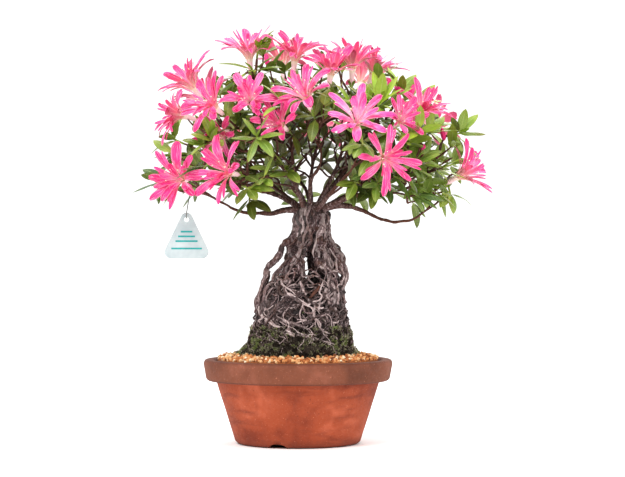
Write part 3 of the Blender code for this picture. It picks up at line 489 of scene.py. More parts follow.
# Leafy shoots in front, as foot and the point of each leaf
SHOOTS = [
    ("shoot_top", (-38, -30, 374), [(-34, -30, 396), (-46, -36, 393), (-22, -38, 390),
                                    (-54, -42, 384), (-24, -48, 378)]),
    ("shoot_left_crest", (-41, -46, 353), [(-76, -50, 361), (-63, -58, 339), (-19, -60, 368),
                                           (-14, -60, 357)]),
    ("shoot_left_dark", (-54, -58, 347), [(-73, -70, 331), (-61, -76, 326), (-81, -68, 342)]),
    ("shoot_front_star", (-37, -96, 289), [(-50, -104, 307), (-26, -104, 310), (-12, -108, 292),
                                           (-22, -108, 271), (-45, -108, 266), (-61, -108, 284)]),
    ("shoot_left_mid", (-87, -60, 280), [(-107, -72, 288), (-97, -70, 302), (-78, -74, 301),
                                         (-64, -72, 300), (-103, -80, 270)]),
    ("shoot_left_arch", (-82, -72, 266), [(-107, -98, 246), (-114, -90, 254), (-120, -84, 262),
                                          (-89, -102, 246), (-69, -100, 250)]),
    ("shoot_left_tip", (-124, -30, 252), [(-157, -34, 240), (-147, -52, 257), (-133, -22, 229),
                                          (-149, -12, 263), (-133, -46, 232)]),
    ("shoot_left_low", (-48, -72, 244), [(-30, -90, 254), (-37, -92, 232), (-56, -90, 228),
                                         (-21, -80, 241)]),
    ("shoot_centre_low", (-9, -62, 259), [(-21, -78, 275), (6, -80, 272), (2, -84, 248),
                                          (-26, -82, 254)]),
    ("shoot_under_left", (-46, -20, 235), [(-57, -36, 219), (-41, -38, 214), (-25, -34, 222),
                                           (-62, -30, 214)]),
    ("shoot_centre_top", (34, -80, 322), [(28, -92, 342), (42, -92, 341), (51, -98, 322),
                                          (17, -96, 331)]),
    ("shoot_right_lime", (75, -58, 319), [(59, -62, 346), (52, -72, 338), (71, -52, 350),
                                          (80, -68, 351), (90, -56, 349), (99, -66, 344),
                                          (107, -68, 337)]),
    ("shoot_right_long", (99, -32, 326), [(126, -46, 328), (114, -28, 346), (105, -14, 350),
                                          (93, -56, 306)]),
    ("shoot_right_oval", (113, -76, 294), [(122, -88, 318), (88, -90, 318), (133, -94, 298),
                                           (93, -98, 285)]),
    ("shoot_right_end", (150, -14, 296), [(160, -24, 320), (173, -8, 316), (179, -26, 296),
                                          (147, -34, 312), (159, -34, 279), (169, -18, 272)]),
    ("shoot_under_show", (59, -118, 285), [(40, -130, 276), (51, -132, 265), (69, -134, 266),
                                           (83, -130, 285)]),
    ("shoot_right_mid", (106, -72, 262), [(96, -86, 284), (121, -84, 283), (132, -80, 275),
                                          (80, -88, 264), (125, -92, 253)]),
    ("shoot_centre_right", (56, -58, 249), [(41, -74, 265), (46, -76, 232), (74, -80, 257),
                                            (32, -70, 246)]),
    ("shoot_right_under", (72, -32, 247), [(85, -50, 229), (69, -48, 224), (56, -52, 231),
                                           (95, -48, 241)]),
    ("shoot_right_droop", (122, -44, 250), [(132, -54, 237), (108, -58, 233), (121, -50, 225),
                                            (99, -44, 234), (141, -54, 250)]),
    ("shoot_far_under", (145, -12, 243), [(166, -22, 228), (148, -28, 220), (131, -28, 226)]),
]

# Leafy shoots at the back and sides, as foot, facing and number of leaves
BACK_SHOOTS = [
    ("shoot_back_crest", (12, 88, 344), (0.0, 0.45, 0.89), 6),
    ("shoot_back_left", (-118, 30, 292), (-0.85, 0.30, 0.40), 6),
    ("shoot_back_low_left", (-104, 72, 262), (-0.70, 0.65, 0.10), 6),
    ("shoot_back_right", (96, 92, 272), (0.45, 0.80, 0.30), 6),
    ("shoot_back_side", (148, 30, 268), (0.90, 0.25, 0.30), 6),
    ("shoot_back_low", (-18, 112, 262), (-0.10, 0.97, 0.15), 6),
]


def curve_point(a, b, c, d, t):
    s = 1.0 - t
    return a * s ** 3 + b * (3 * s * s * t) + c * (3 * s * t * t) + d * t ** 3


def blade_line(start, first, last, side, length, steps):
    # Centre line that bends from the first heading to the last one
    points = [start.copy()]
    heads = [first.copy()]
    pos = start.copy()
    for i in range(steps):
        t = (i + 0.5) / steps
        head = (first * (1 - t) + last * t).normalized()
        pos = pos + head * (length / steps)
        points.append(pos.copy())
        t = (i + 1) / steps
        heads.append((first * (1 - t) + last * t).normalized())
    faces = [h.cross(side).normalized() for h in heads]
    return points, heads, faces


def blade(start, first, last, side, length, widths, stops, thick):
    # A petal or a leaf: raised along its middle, thin at its edges, pointed at its tip
    steps = 10
    points, heads, tops = blade_line(start, first, last, side, length, steps)
    verts = []
    for stop, width in zip(stops, widths):
        k = int(round(stop * steps))
        across = tops[k].cross(heads[k]).normalized()
        verts.append(points[k] - across * width * 0.5 + tops[k] * 0.35)
        verts.append(points[k] + across * width * 0.5 + tops[k] * 0.35)
        verts.append(points[k] - tops[k] * (thick - 0.35))
    foot = len(verts) - 3
    tip = len(verts)
    verts.append(points[steps])
    faces = rings(len(stops), 3) + [(0, 2, 1)]
    for k in range(3):
        faces.append((foot + k, foot + (k + 1) % 3, tip))
    return verts, faces


def far_part(verts, faces):
    # The blade without its root
    kept = [tuple(k - 3 for k in f) for f in faces if min(f) >= 3]
    return verts[3:], kept + [(0, 2, 1)]


class Space:
    # What has been placed so far, asked before each new blade is placed
    def __init__(self):
        self.items = []

    def add(self, owner, verts, faces):
        verts = [Vector(v) for v in verts]
        low = Vector([min(v[k] for v in verts) for k in range(3)])
        high = Vector([max(v[k] for v in verts) for k in range(3)])
        self.items.append((owner, low, high, BVHTree.FromPolygons(verts, faces)))

    def clear_of(self, owners, verts, faces, room):
        verts = [Vector(v) for v in verts]
        low = Vector([min(v[k] for v in verts) - room for k in range(3)])
        high = Vector([max(v[k] for v in verts) + room for k in range(3)])
        tree = None
        for other, a, b, shape in self.items:
            if other in owners:
                continue
            if any(a[k] > high[k] or b[k] < low[k] for k in range(3)):
                continue
            if tree is None:
                tree = BVHTree.FromPolygons(verts, faces)
            if tree.overlap(shape):
                return False
            mids = [sum((verts[k] for k in f), Vector()) / len(f) for f in faces]
            if any(shape.find_nearest(v, room)[0] is not None for v in verts + mids):
                return False
        return True


def spoke(axis, a):
    # The way out from an axis at an angle
    side, other = round_about(axis)
    return side * math.cos(a) + other * math.sin(a)


def headings(axis, out, tilt, end, lean):
    # The way a strap leaves the tube, the way it points at its tip, and the way across it
    around = axis.cross(out).normalized()
    tilt = math.radians(tilt)
    end = math.radians(end)
    first = (axis * math.cos(tilt) + out * math.sin(tilt)).normalized()
    last = (axis * math.cos(end) + out * math.sin(end) + around * lean).normalized()
    return first, last, around


def petal(row, k, count, swing, opening, reach):
    # Strap petal number k, from inside the tube out to its tip
    name, throat, axis, length, open_to = row
    rng = random.Random(name + str(k))
    out = spoke(axis, math.tau * (k + rng.uniform(-0.08, 0.08)) / count + swing)
    tips = headings(axis, out, rng.uniform(16, 30), open_to + rng.uniform(-16, 26) + opening,
                    rng.uniform(-0.22, 0.22))
    long = (length + 2.0) * rng.uniform(0.88, 1.08) * reach
    wide = rng.choice((6.0, 6.6, 7.4, 8.4, 10.0))
    return throat - axis * 1.6 + out * 2.3, *tips, long, wide


PETAL_STOPS = (0.0, 0.4, 0.8)


def petal_solid(start, first, last, side, length, wide):
    return blade(start, first, last, side, length, (1.0, wide * 0.62, wide), PETAL_STOPS, 1.0)


def bloom_core(throat, axis):
    # Tube, calyx and stalk
    stops = (-24.0, -15.0, -5.5, 0.6)
    return pipe([throat + axis * s for s in stops], (1.0, 1.6, 2.6, 3.6), 5)


def leaf(foot, tip, bend):
    foot = Vector(foot)
    tip = Vector(tip)
    chord = tip - foot
    straight = chord.normalized()
    rise = Vector((0, 0, 1)) - straight * straight.z
    outward = foot - CROWN
    outward = outward - straight * outward.dot(straight)
    lift = (rise.normalized() * 0.75 + outward.normalized() * 0.5).normalized()
    first = (straight + lift * bend).normalized()
    last = (straight - lift * bend * 1.1).normalized()
    side = straight.cross(lift).normalized()
    length = chord.length * (1.0 + bend * bend * 0.18)
    return foot, first, last, side, length


LEAF_STOPS = (0.0, 0.4, 0.7)


def leaf_solid(start, first, last, side, length, wide):
    return blade(start, first, last, side, length, (1.3, wide, wide * 0.8), LEAF_STOPS, 1.0)


def whorl(centre, axis, count, rng, uneven, lift, reach):
    # Leaf tips set round an axis
    tips = []
    for k in range(count):
        out = spoke(axis, math.tau * (k + rng.uniform(-uneven, uneven)) / count)
        rise = math.radians(rng.uniform(*lift))
        away = rng.uniform(*reach)
        tips.append(centre + (out * math.cos(rise) + axis * math.sin(rise)) * away)
    return tips


def shoot_plans():
    plans = []
    for name, foot, tips in SHOOTS:
        foot = Vector(foot)
        tips = [Vector(t) for t in tips]
        mid = sum(tips, Vector()) / len(tips)
        plans.append((name, foot, (mid - foot).normalized(), tips))
    for name, foot, axis, count in BACK_SHOOTS:
        foot = Vector(foot)
        axis = Vector(axis).normalized()
        tips = whorl(foot, axis, count, random.Random(name), 0.2, (12, 50), (24, 32))
        plans.append((name, foot, axis, tips))
    return plans


def branch_tubes():
    tubes = []
    for start, end, path in BRANCHES:
        radii = [start + (end - start) * i / (len(path) - 1) for i in range(len(path))]
        tubes.append((path, radii, 5 if start > 5 else 4))
    return tubes


def branch_points():
    # Points along every main branch that a twig can leave from
    points = []
    for start, end, path in BRANCHES:
        path = [Vector(p) for p in path]
        total = len(path) - 1
        for i in range(total):
            for s in (0.0, 0.33, 0.66):
                if i == 0 and s < 0.6:
                    continue
                along = (path[i + 1] - path[i]).normalized()
                points.append((path[i].lerp(path[i + 1], s), along))
        points.append((path[-1], (path[-1] - path[-2]).normalized()))
    return points


def joints(path):
    # Points of a twig that another can leave from
    return [(p, (q - p).normalized()) for p, q in zip(path[1:], path[2:])]


def twig_path(end, axis, points, pick):
    # From a near point of the branches, round to the foot of a bloom or shoot
    foot = end - axis * 3.0
    back = foot - axis * 14.0
    ranked = []
    for p, along in points:
        span = foot - p
        if span.length < 6.0:
            continue
        cost = (back - p).length + 18.0 * (1.0 - span.normalized().dot(along))
        cost += 30.0 * max(0.0, -span.normalized().dot(axis))
        if p.z > foot.z + 4.0:
            cost += (p.z - foot.z) * 0.6
        ranked.append((cost, p, along))
    ranked.sort(key=lambda row: row[0])
    p, along = ranked[min(pick, len(ranked) - 1)][1:]
    span = (foot - p).length
    c1 = p + (along * 0.6 + (foot - p).normalized() * 0.4) * span * 0.35
    c2 = foot - axis * span * 0.35
    count = 2 if span < 26 else 3
    return [curve_point(p, c1, c2, foot, i / count) for i in range(count + 1)] + [end]


def fits(space, name, solid):
    # A blade keeps off everything else, and its outer part off its own neighbours
    outer = far_part(*solid)
    mine = name + " outer"
    if not space.clear_of((name, mine), *solid, 0.6):
        return False
    if not space.clear_of((name,), *outer, 0.1):
        return False
    space.add(name, *solid)
    space.add(mine, *outer)
    return True


def grow():
    # Places stems first, then petals, then leaves, each clear of what is there
    space = Space()
    for path, radii, sides in branch_tubes():
        space.add("tree", *pipe(path, radii, sides))
    ends = []
    for name, throat, axis, length, open_to in BLOOMS:
        space.add(name, *bloom_core(throat, axis))
        ends.append((name, throat - axis * (24.0 + GAP), axis))
    shoots = shoot_plans()
    for name, foot, axis, tips in shoots:
        space.add(name, *pipe([foot - axis * 7.0, foot + axis * 6.5], (1.1, 1.3), 4))
        ends.append((name, foot - axis * (7.0 + GAP), axis))
    points = branch_points()
    centre = Vector((14, 0, 235))
    ends.sort(key=lambda row: (row[1] - centre).length)
    twigs = []
    for name, foot, axis in ends:
        for pick in range(60):
            path = twig_path(foot, axis, points, pick)
            radii = [1.5 - 0.6 * i / (len(path) - 1) for i in range(len(path))]
            solid = pipe(path, radii, 3)
            free = space.clear_of(("tree",), *solid, 0.3)
            if free or pick == 0:
                best = (path, radii, solid)
            if free:
                break
        path, radii, solid = best
        space.add("tree", *solid)
        twigs.append((path, radii))
        points += joints(path)
    petals = {}
    for row in BLOOMS:
        name = row[0]
        count = 7 if "back" in name else 8
        if "behind" in name or "inner" in name:
            count = 6
        kept = []
        for k in range(count):
            for change in PETAL_TRIES:
                plan = petal(row, k, count, *change)
                if fits(space, name, petal_solid(*plan)):
                    kept.append(plan)
                    break
        petals[name] = kept
    leaves = {}
    for name, foot, axis, tips in shoots:
        rng = random.Random(name + "leaf")
        kept = []
        for k, tip in enumerate(tips):
            root = foot + axis * (5.6 - 7.0 * k / len(tips))
            wide = rng.uniform(8.4, 10.8)
            bend = rng.uniform(0.15, 0.5)
            for shift, reach in LEAF_TRIES:
                moved = foot + (tip + Vector(shift) - foot) * reach
                plan = (*leaf(root, moved, bend), wide)
                if fits(space, name, leaf_solid(*plan)):
                    kept.append(plan)
                    break
        leaves[name] = kept
    return twigs, petals, shoots, leaves, space, points


# How a petal that doesn't fit is moved, as turn, opening and length
PETAL_TRIES = [
    (0.0, 0, 1.0), (0.0, -14, 1.0), (0.0, 14, 1.0), (0.16, 0, 1.0), (-0.16, 0, 1.0),
    (0.0, -26, 1.0), (0.0, 28, 0.95), (0.0, 0, 0.8), (0.16, -18, 0.9), (-0.16, -18, 0.9),
    (0.0, -34, 0.8), (0.0, 30, 0.75), (0.0, 0, 0.62), (0.0, -34, 0.62)]
# How a leaf that doesn't fit is moved, as shift of the tip and length
LEAF_TRIES = [
    ((0, 0, 0), 1.0), ((0, 0, 4), 1.0), ((0, -4, -4), 1.0), ((4, -3, 0), 1.0),
    ((-4, -3, 0), 1.0), ((0, -7, 2), 0.95), ((5, -4, 5), 0.95), ((-5, -4, 5), 0.95),
    ((0, -6, -7), 0.95), ((0, 0, 0), 0.78), ((0, -5, 6), 0.75), ((0, -5, -6), 0.75),
    ((8, 0, 8), 0.8), ((-8, 0, 8), 0.8), ((8, 0, -8), 0.8), ((-8, 0, -8), 0.8),
    ((0, 10, 8), 0.8), ((0, 10, -8), 0.8), ((0, -12, 0), 0.8), ((0, 0, 0), 0.62)]


def smooth_path(points, per=4):
    # A flowing line through the points
    pts = [Vector(p) for p in points]
    full = [pts[0] * 2 - pts[1], *pts, pts[-1] * 2 - pts[-2]]
    out = []
    for i in range(1, len(full) - 2):
        a, b, c, d = full[i - 1:i + 3]
        for k in range(per):
            t = k / per
            out.append(((b * 2) + (c - a) * t + (a * 2 - b * 5 + c * 4 - d) * t * t
                        + (b * 3 - a - c * 3 + d) * t ** 3) * 0.5)
    out.append(pts[-1])
    return out


def smooth_radii(radii, per=4):
    out = []
    for a, b in zip(radii, radii[1:]):
        out += [a + (b - a) * k / per for k in range(per)]
    return out + [radii[-1]]


# Without a number of its own, the noise that bends the stems would be set by the clock
noise.seed_set(2)


def knobbly(path, radii, rng, wander, lumps):
    # Bends and swellings of a grown stem
    shift = Vector([rng.uniform(-99, 99) for k in range(3)])
    moved = []
    sized = []
    last = len(path) - 1
    for i, (p, r) in enumerate(zip(path, radii)):
        free = min(1.0, i / 3, (last - i) / 3)
        moved.append(p + noise.noise_vector(p * 0.09 + shift) * wander * free)
        sized.append(r * (1 + lumps * 2 * noise.noise(p * 0.25 + shift)))
    return moved, sized


def crown_shade():
    # Little light reaches the middle of the crown, so leaves and young bark are darker there
    tree, given, result = effect("crown_shade", [("Colour", "Color"), ("Amount", "Float")],
                                 [("Colour", "Color")])
    middle = (14 + AXIS.x / MM, 10 + AXIS.y / MM, 252)
    far = add(tree, "ShaderNodeVectorMath", {0: where(tree), 1: middle}, operation="DISTANCE")
    fall = ramp(tree, sums(tree, "DIVIDE", far.outputs["Value"], 150.0),
                [(0.15, (0.10, 0.05, 0.03, 1.0)), (0.42, (0.50, 0.38, 0.26, 1.0)), (0.68, 1.0)])
    dark = mix(tree, given.outputs["Amount"], given.outputs["Colour"], fall, "MULTIPLY")
    tree.links.new(dark, result.inputs["Colour"])
    return tree


CROWN_SHADE = crown_shade()


def shaded(tree, amount, colour):
    node = add(tree, "ShaderNodeGroup", node_tree=CROWN_SHADE)
    node.inputs["Amount"].default_value = amount
    tree.links.new(colour, node.inputs["Colour"])
    return node.outputs["Colour"]


def bark():
    # Smooth red-brown on young wood, greyer and cracked toward the trunk and on the roots
    mat, tree, shader = blank("bark", 0.75)
    lump = cloud(tree, 9.0, 5.0)
    fine = cloud(tree, 1.6, 6.0, 0.7, (1, 1, 0.45))
    young = ramp(tree, fine, [(0.3, (62, 34, 26)), (0.6, (104, 62, 46)), (0.8, (146, 100, 80))])
    old = ramp(tree, fine, [(0.34, (18, 9, 10)), (0.5, (104, 79, 79)), (0.66, (204, 186, 186))])
    old = over(tree, old, (104, 68, 50), lump, (0.45, 0), (0.7, 0.6))
    colour = mix(tree, value_of(tree, "age"), shaded(tree, 0.6, young), old)
    light = ramp(tree, fine, [(0.28, (112, 88, 86)), (0.5, (182, 164, 162)),
                              (0.72, (228, 216, 214))])
    colour = mix(tree, value_of(tree, "pale"), colour, light)
    # Painted shade: where the mesh's deep value is high the bark goes near black, for the hollows
    # and grooves of the roots and trunk
    colour = mix(tree, value_of(tree, "deep"), colour, (11, 6, 6))
    link(tree, colour, shader)
    bump(tree, shader, fine, 0.7, 0.7)
    return mat


# How wide the mound, the legs and the trunk are, as height and radius
WIDTHS = [(84, 56), (90, 52), (95, 49), (108, 45.5), (124, 42.5), (137, 38.0), (153, 36.5),
          (170, 33.5), (180, 29), (190, 23), (200, 18.5), (215, 18.3), (225, 14), (230, 9)]


def width_at(z):
    for (z0, r0), (z1, r1) in zip(WIDTHS, WIDTHS[1:]):
        if z <= z1:
            t = max(0.0, (z - z0) / (z1 - z0))
            return r0 + (r1 - r0) * t
    return WIDTHS[-1][1]


def middle_at(z):
    # The trunk leans a little to the right as it rises
    return 2.0 + 11.0 * min(1.0, max(0.0, (z - 110) / 100))


def beside(wide, a, z):
    # A point round the trunk or the mound
    return (middle_at(z) + wide * math.cos(a), wide * math.sin(a), z)


def root_mass():
    # The mound that the roots clasp, and its plain foot in the soil
    rows = [(0.5, 46.2), (38.0, 46.2), (40.6, 50.0), (40.6, 84.0), (40.4, 112.0), (40.5, 119.0),
            (40.0, 126.0), (37.5, 133.0), (33.0, 141.0), (26.0, 149.0), (16.0, 156.0),
            (0.5, 160.0)]
    count = 40
    turns = [math.tau * i / count for i in range(count)]
    verts = [(r * math.cos(a), r * math.sin(a), z) for r, z in rows for a in turns]
    return verts, rings(len(rows), count) + caps(len(rows), count)


# Side of the small cubes that the trunk's skin is drawn over, in metres
SKIN_STEP = 0.0011


def trunk_body(mat):
    # Trunk, thick roots and branch feet run into one another, as they have grown
    rng = random.Random(5)
    heap = Heap()
    heap.take(*root_mass())
    trunk = [(9, 0, 186), (9, 0, 193), (11, 0, 200), (12, 0, 207), (14, 0, 215), (13.5, 0, 222),
             (13, 0, 229)]
    heap.take(*pipe(smooth_path(trunk), smooth_radii((8, 11.4, 13.4, 13.8, 14.0, 12, 7)), 20))
    for k in range(13):
        # Ribs that wind up the trunk
        a = math.tau * (k + rng.uniform(-0.3, 0.3)) / 13
        turn = rng.uniform(-0.5, 0.9)
        path = []
        for z, r in ((184, 9), (193, 11.6), (201, 12.8), (209, 13.0), (217, 12.8), (225, 9),
                     (231, 5.6)):
            t = (z - 184) / 47
            path.append(beside(r, a + turn * t, z))
        width = rng.uniform(2.0, 3.6)
        heap.take(*pipe(smooth_path(path), smooth_radii([width] * 6 + [width * 0.6]), 8))
    for path in ROOTS:
        line, radii = knobbly(smooth_path([p[:3] for p in path]),
                              smooth_radii([p[3] for p in path]), rng, 2.4, 0.3)
        heap.take(*pipe(line, radii, 10))
    for path, radii, sides in branch_tubes():
        slim = [r * max(0.34, 0.66 - 0.1 * i) for i, r in enumerate(radii[:3])]
        line, sized = knobbly(smooth_path(path[:3]), smooth_radii(slim), rng, 0.3, 0.1)
        heap.take(*pipe(line, sized, 10))
    ob = put("trunk", heap.verts, heap.faces, mat, "bark", ["tree"])
    skin = ob.modifiers.new("skin", "REMESH")
    skin.mode = "VOXEL"
    skin.voxel_size = SKIN_STEP
    settle(ob)
    calm = ob.modifiers.new("calm", "SMOOTH")
    calm.factor = 0.5
    calm.iterations = 3
    settle(ob)
    mesh = ob.data
    mesh.update()
    age = []
    deep = []
    moved = []
    for v in mesh.vertices:
        p = (v.co - AXIS) / MM
        spin = math.atan2(p.y, p.x - middle_at(p.z))
        q = Vector((math.cos(spin) * 4, math.sin(spin) * 4, p.z * 0.09 + spin * 0.4))
        rib = noise.noise(q * 1.4)
        grit = noise.noise(p * 0.45)
        out = 0.5 * grit
        if p.z > 150:
            out += rib * 1.1 * min(1.0, (p.z - 150) / 20)
        moved.append(v.co + v.normal * out * MM)
        reach = max(abs(p.x - 13), abs(p.y))
        age.append(1.0 if p.z < 222 else max(0.0, 1 - (reach - 12) / 30))
        # The deep value is painted shade: near black on the core of the mound and legs low down,
        # and in the grooves between the trunk's ribs
        low = min(1.0, max(0.0, (166 - p.z) / 10))
        near = (p.xy - Vector((middle_at(p.z), 0))).length
        painted_shade = low * min(0.92, max(0.0, 1.15 - near / max(1, width_at(p.z) - 1.0)) * 4 + 0.35)
        if 160 < p.z < 224:
            painted_shade = max(painted_shade, 0.3 - 0.9 * rib)
        deep.append(min(0.92, max(0.0, painted_shade)))
    for v, co in zip(mesh.vertices, moved):
        v.co = co
    for key, data in (("age", age), ("deep", deep), ("pale", [0.0] * len(age))):
        layer = mesh.attributes.new(key, "FLOAT", "POINT")
        layer.data.foreach_set("value", data)


# Places where daylight shows through the roots, as x, height and radius
WINDOWS = [(9.5, 173, 4.6), (-17, 179, 6.0), (-24, 168, 3.6), (20, 180, 3.6), (40, 172, 3.4)]


def strand(heap, path, radii, rng, pale, deep, sides, wander, per=4, age=1.0):
    # One thin root, left out where a fine one would close a gap. Its deep value is painted shade,
    # darkening it toward near black
    line, sized = knobbly(smooth_path(path, per), smooth_radii(radii, per), rng, wander, 0.22)
    for x, z, r in WINDOWS:
        if sides < 7 and any(math.hypot(p.x - x, p.z - z) < r for p in line):
            return
    heap.take(*pipe(line, sized, sides), age=age, pale=pale, deep=deep)


TANGLE_ROOTS = 430


def root_cage(mat):
    # Thin roots that wrap the trunk, the legs and the mound in a tangle. Each strand's deep value
    # is painted shade: some strands are darkened at random, and those set further into the tangle
    # more
    rng = random.Random(19)
    heap = Heap("age", "pale", "deep")
    for k in range(84):
        # Roots fused to the trunk, twining down it
        a = rng.uniform(0, math.tau)
        turn = rng.uniform(-0.9, 0.9)
        z = rng.uniform(206, 229)
        stop = rng.uniform(168, 190)
        path = []
        radii = []
        size = rng.choice((0.6, 0.8, 1.1, 1.5, 2.0, 2.8))
        while z > stop:
            wide = min(width_at(z), 16.4 + max(0, 190 - z) * 0.5) - 0.35 * size
            path.append(beside(wide, a, z))
            radii.append(size * rng.uniform(0.75, 1.15))
            step = rng.uniform(4.5, 7.5)
            z -= step
            a += turn * 0.08 * step / 5 + rng.uniform(-0.12, 0.12)
        if len(path) > 2:
            radii[-1] *= 0.5
            strand(heap, path, radii, rng, rng.choice((0, 0.15, 0.35, 0.55, 0.8)),
                   rng.choice((0, 0, 0.4, 0.8)), 7, 3.4)
    for path in ROOTS:
        # Thinner roots wound round each thick one
        line = smooth_path([p[:3] for p in path], 3)
        sizes = smooth_radii([p[3] for p in path], 3)
        for n in range(5):
            spin = rng.uniform(0, math.tau)
            turn = rng.uniform(-0.35, 0.35)
            begin = rng.randrange(0, max(1, len(line) // 2))
            twined = []
            for i in range(begin, len(line)):
                along = (line[min(i + 1, len(line) - 1)] - line[max(i - 1, 0)]).normalized()
                twined.append(line[i] + spoke(along, spin) * (sizes[i] * rng.uniform(0.85, 1.15)))
                spin += turn + rng.uniform(-0.3, 0.3)
            twined = [q for q in twined if q.z > 100]
            if len(twined) > 3:
                size = rng.choice((0.6, 0.9, 1.3, 1.7))
                radii = [size * rng.uniform(0.8, 1.2) for q in twined]
                strand(heap, twined, radii, rng, rng.choice((0, 0.1, 0.3, 0.55)),
                       rng.choice((0, 0.35, 0.75)), 6, 2.2, 3)
    for k in range(TANGLE_ROOTS):
        # The tangle over the mound
        a = rng.uniform(0, math.tau)
        z = rng.uniform(114, 166)
        stop = rng.uniform(88, 130)
        if z - stop < 12:
            stop = z - 12
        size = rng.choice((0.4, 0.5, 0.6, 0.8, 1.0, 1.3, 1.7))
        drift = rng.uniform(-0.02, 0.02)
        path = []
        radii = []
        inset = rng.uniform(-1.0, 5.5)
        while z > stop:
            wide = min(width_at(z), 21 + (162 - z) * 1.15) - inset + rng.uniform(-1.6, 1.6)
            path.append(beside(wide, a, z))
            radii.append(size * rng.uniform(0.8, 1.15))
            step = rng.uniform(3, 6)
            z -= step
            a += drift * step * 3 + rng.uniform(-0.13, 0.13)
        if len(path) < 3:
            continue
        radii[-1] = 0.3
        light = rng.choice((0, 0, 0, 0, 0.1, 0.3, 0.5, 0.8))
        # Painted shade: a strand set further into the tangle is darker, a pale one less so
        deep = max(0.0, min(0.94, (0.64 + 0.12 * inset) * (1 - 1.3 * light)))
        strand(heap, path, radii, rng, light, deep, 5, 2.4, 3)
    for k in range(90):
        # Loops and curls that stand off the mound
        a = rng.uniform(0, math.tau)
        z = rng.uniform(108, 176)
        size = rng.uniform(0.35, 1.0)
        path = []
        for i in range(6):
            wide = min(width_at(z), 22 + (166 - z) * 1.2) - 3 + 4.4 * math.sin(math.pi * i / 5)
            path.append(beside(wide, a, z))
            a += rng.uniform(-0.2, 0.2)
            z += rng.uniform(-6.0, 2.5)
        light = rng.choice((0.0, 0.1, 0.3, 0.6, 0.9))
        strand(heap, path, [size] * 5 + [0.3], rng, light, 0.0, 5, 2.0)
    for k in range(70):
        # Curls that stand off the legs
        a = rng.uniform(0, math.tau)
        z = rng.uniform(150, 208)
        size = rng.uniform(0.4, 1.1)
        path = []
        for i in range(7):
            wide = width_at(z) * 0.94 - 2 + 3.4 * math.sin(math.pi * i / 6)
            path.append(beside(wide, a, z))
            a += rng.uniform(-0.24, 0.24)
            z += rng.uniform(-7.0, 1.5)
        strand(heap, path, [size] * 6 + [0.3], rng, rng.choice((0.0, 0.2, 0.4, 0.7)),
               rng.choice((0, 0, 0.3)), 5, 3.0)
    for k in range(60):
        # Roots that hang free between trunk and mound
        a = rng.uniform(0, math.tau)
        if -2.0 < a - math.tau < -1.1 or 1.1 < a < 2.0:
            continue
        path = []
        for z, r in ((204, 14), (194, 15), (184, 19), (174, 23), (164, 27), (154, 32), (144, 36),
                     (134, 39)):
            a += rng.uniform(-0.12, 0.12)
            wide = r + rng.uniform(-3.0, 3.0)
            path.append(beside(wide, a, z))
        size = rng.choice((0.5, 0.7, 1.0, 1.4, 2.0))
        strand(heap, path, [size] * 8, rng, rng.choice((0, 0.1, 0.3, 0.5)),
               rng.choice((0, 0, 0.4)), 6, 3.0)
    for k in range(64):
        # Fine roots that run over the moss
        a = rng.uniform(0, math.tau)
        z = rng.uniform(96, 126)
        path = []
        for i in range(5):
            wide = width_at(z) + rng.uniform(1.0, 3.4)
            path.append((2.6 + wide * math.cos(a), wide * math.sin(a), z))
            a += rng.uniform(-0.1, 0.1)
            z -= rng.uniform(0.5, 4.5)
            z = max(z, 86.5)
        strand(heap, path, [rng.uniform(0.2, 0.42)] * 5, rng, rng.choice((0.3, 0.6, 1.0)), 0.0,
               4, 1.6, 3)
    # A torn red-brown stub in the middle of the mound
    strand(heap, [(10, -36.0, 140), (14, -36.6, 143), (19, -35.6, 148), (21, -33.0, 154)],
           [0.8, 1.7, 1.5, 0.7], rng, 0.0, 0.2, 8, 2.0, age=0.0)
    for points, size, light in PALE_ROOTS:
        path = []
        for x, z in points:
            wide = min(width_at(z), 24 + (166 - z) * 1.2) + 1.6
            off = min(abs(x - middle_at(z)), wide * 0.94)
            y = -math.sqrt(wide * wide - off * off)
            if z > 166:
                y = max(y, -17)
            path.append((x, y, z))
        size *= 0.66
        strand(heap, path, [size] * (len(path) - 1) + [size * 0.6], rng, light, 0.0, 7, 1.6)
    put("root_cage", heap.verts, heap.faces, mat, "bark", values=heap.values)


# Roots that stand out pale in front, as x and height, radius and paleness
PALE_ROOTS = [
    ([(-16, 158), (-15, 154), (-6, 147), (-2, 143)], 1.1, 0.8),
    ([(-15, 140), (-9, 145), (-2, 141), (9, 135), (14, 137), (20, 138), (23, 142), (20, 146),
      (24, 156)], 1.2, 0.9),
    ([(5, 134), (2, 125), (7, 111)], 1.0, 0.7),
    ([(25, 126), (30, 123), (33, 111)], 0.9, 0.7),
    ([(29, 129), (11, 112)], 0.8, 0.6),
    ([(16, 134), (17, 111)], 0.9, 0.8),
    ([(-6, 201), (-14, 190), (-20, 179), (-28, 169), (-29, 161), (-34, 156)], 1.5, 0.35),
    ([(17, 199), (21, 186), (20, 174), (24, 168), (34, 167)], 2.2, 0.75),
    ([(36, 180), (31, 188), (38, 176)], 1.6, 0.5),
    ([(40, 170), (44, 161), (40, 152)], 1.6, 0.45),
    ([(-12, 158), (-6, 168), (-2, 178)], 1.8, 0.3),
    ([(2, 156), (5, 150), (8, 143)], 1.8, 0.4),
    ([(-24, 150), (-30, 138), (-27, 124)], 1.0, 0.5),
    ([(-8, 132), (-14, 124), (-10, 114)], 0.8, 0.6),
]


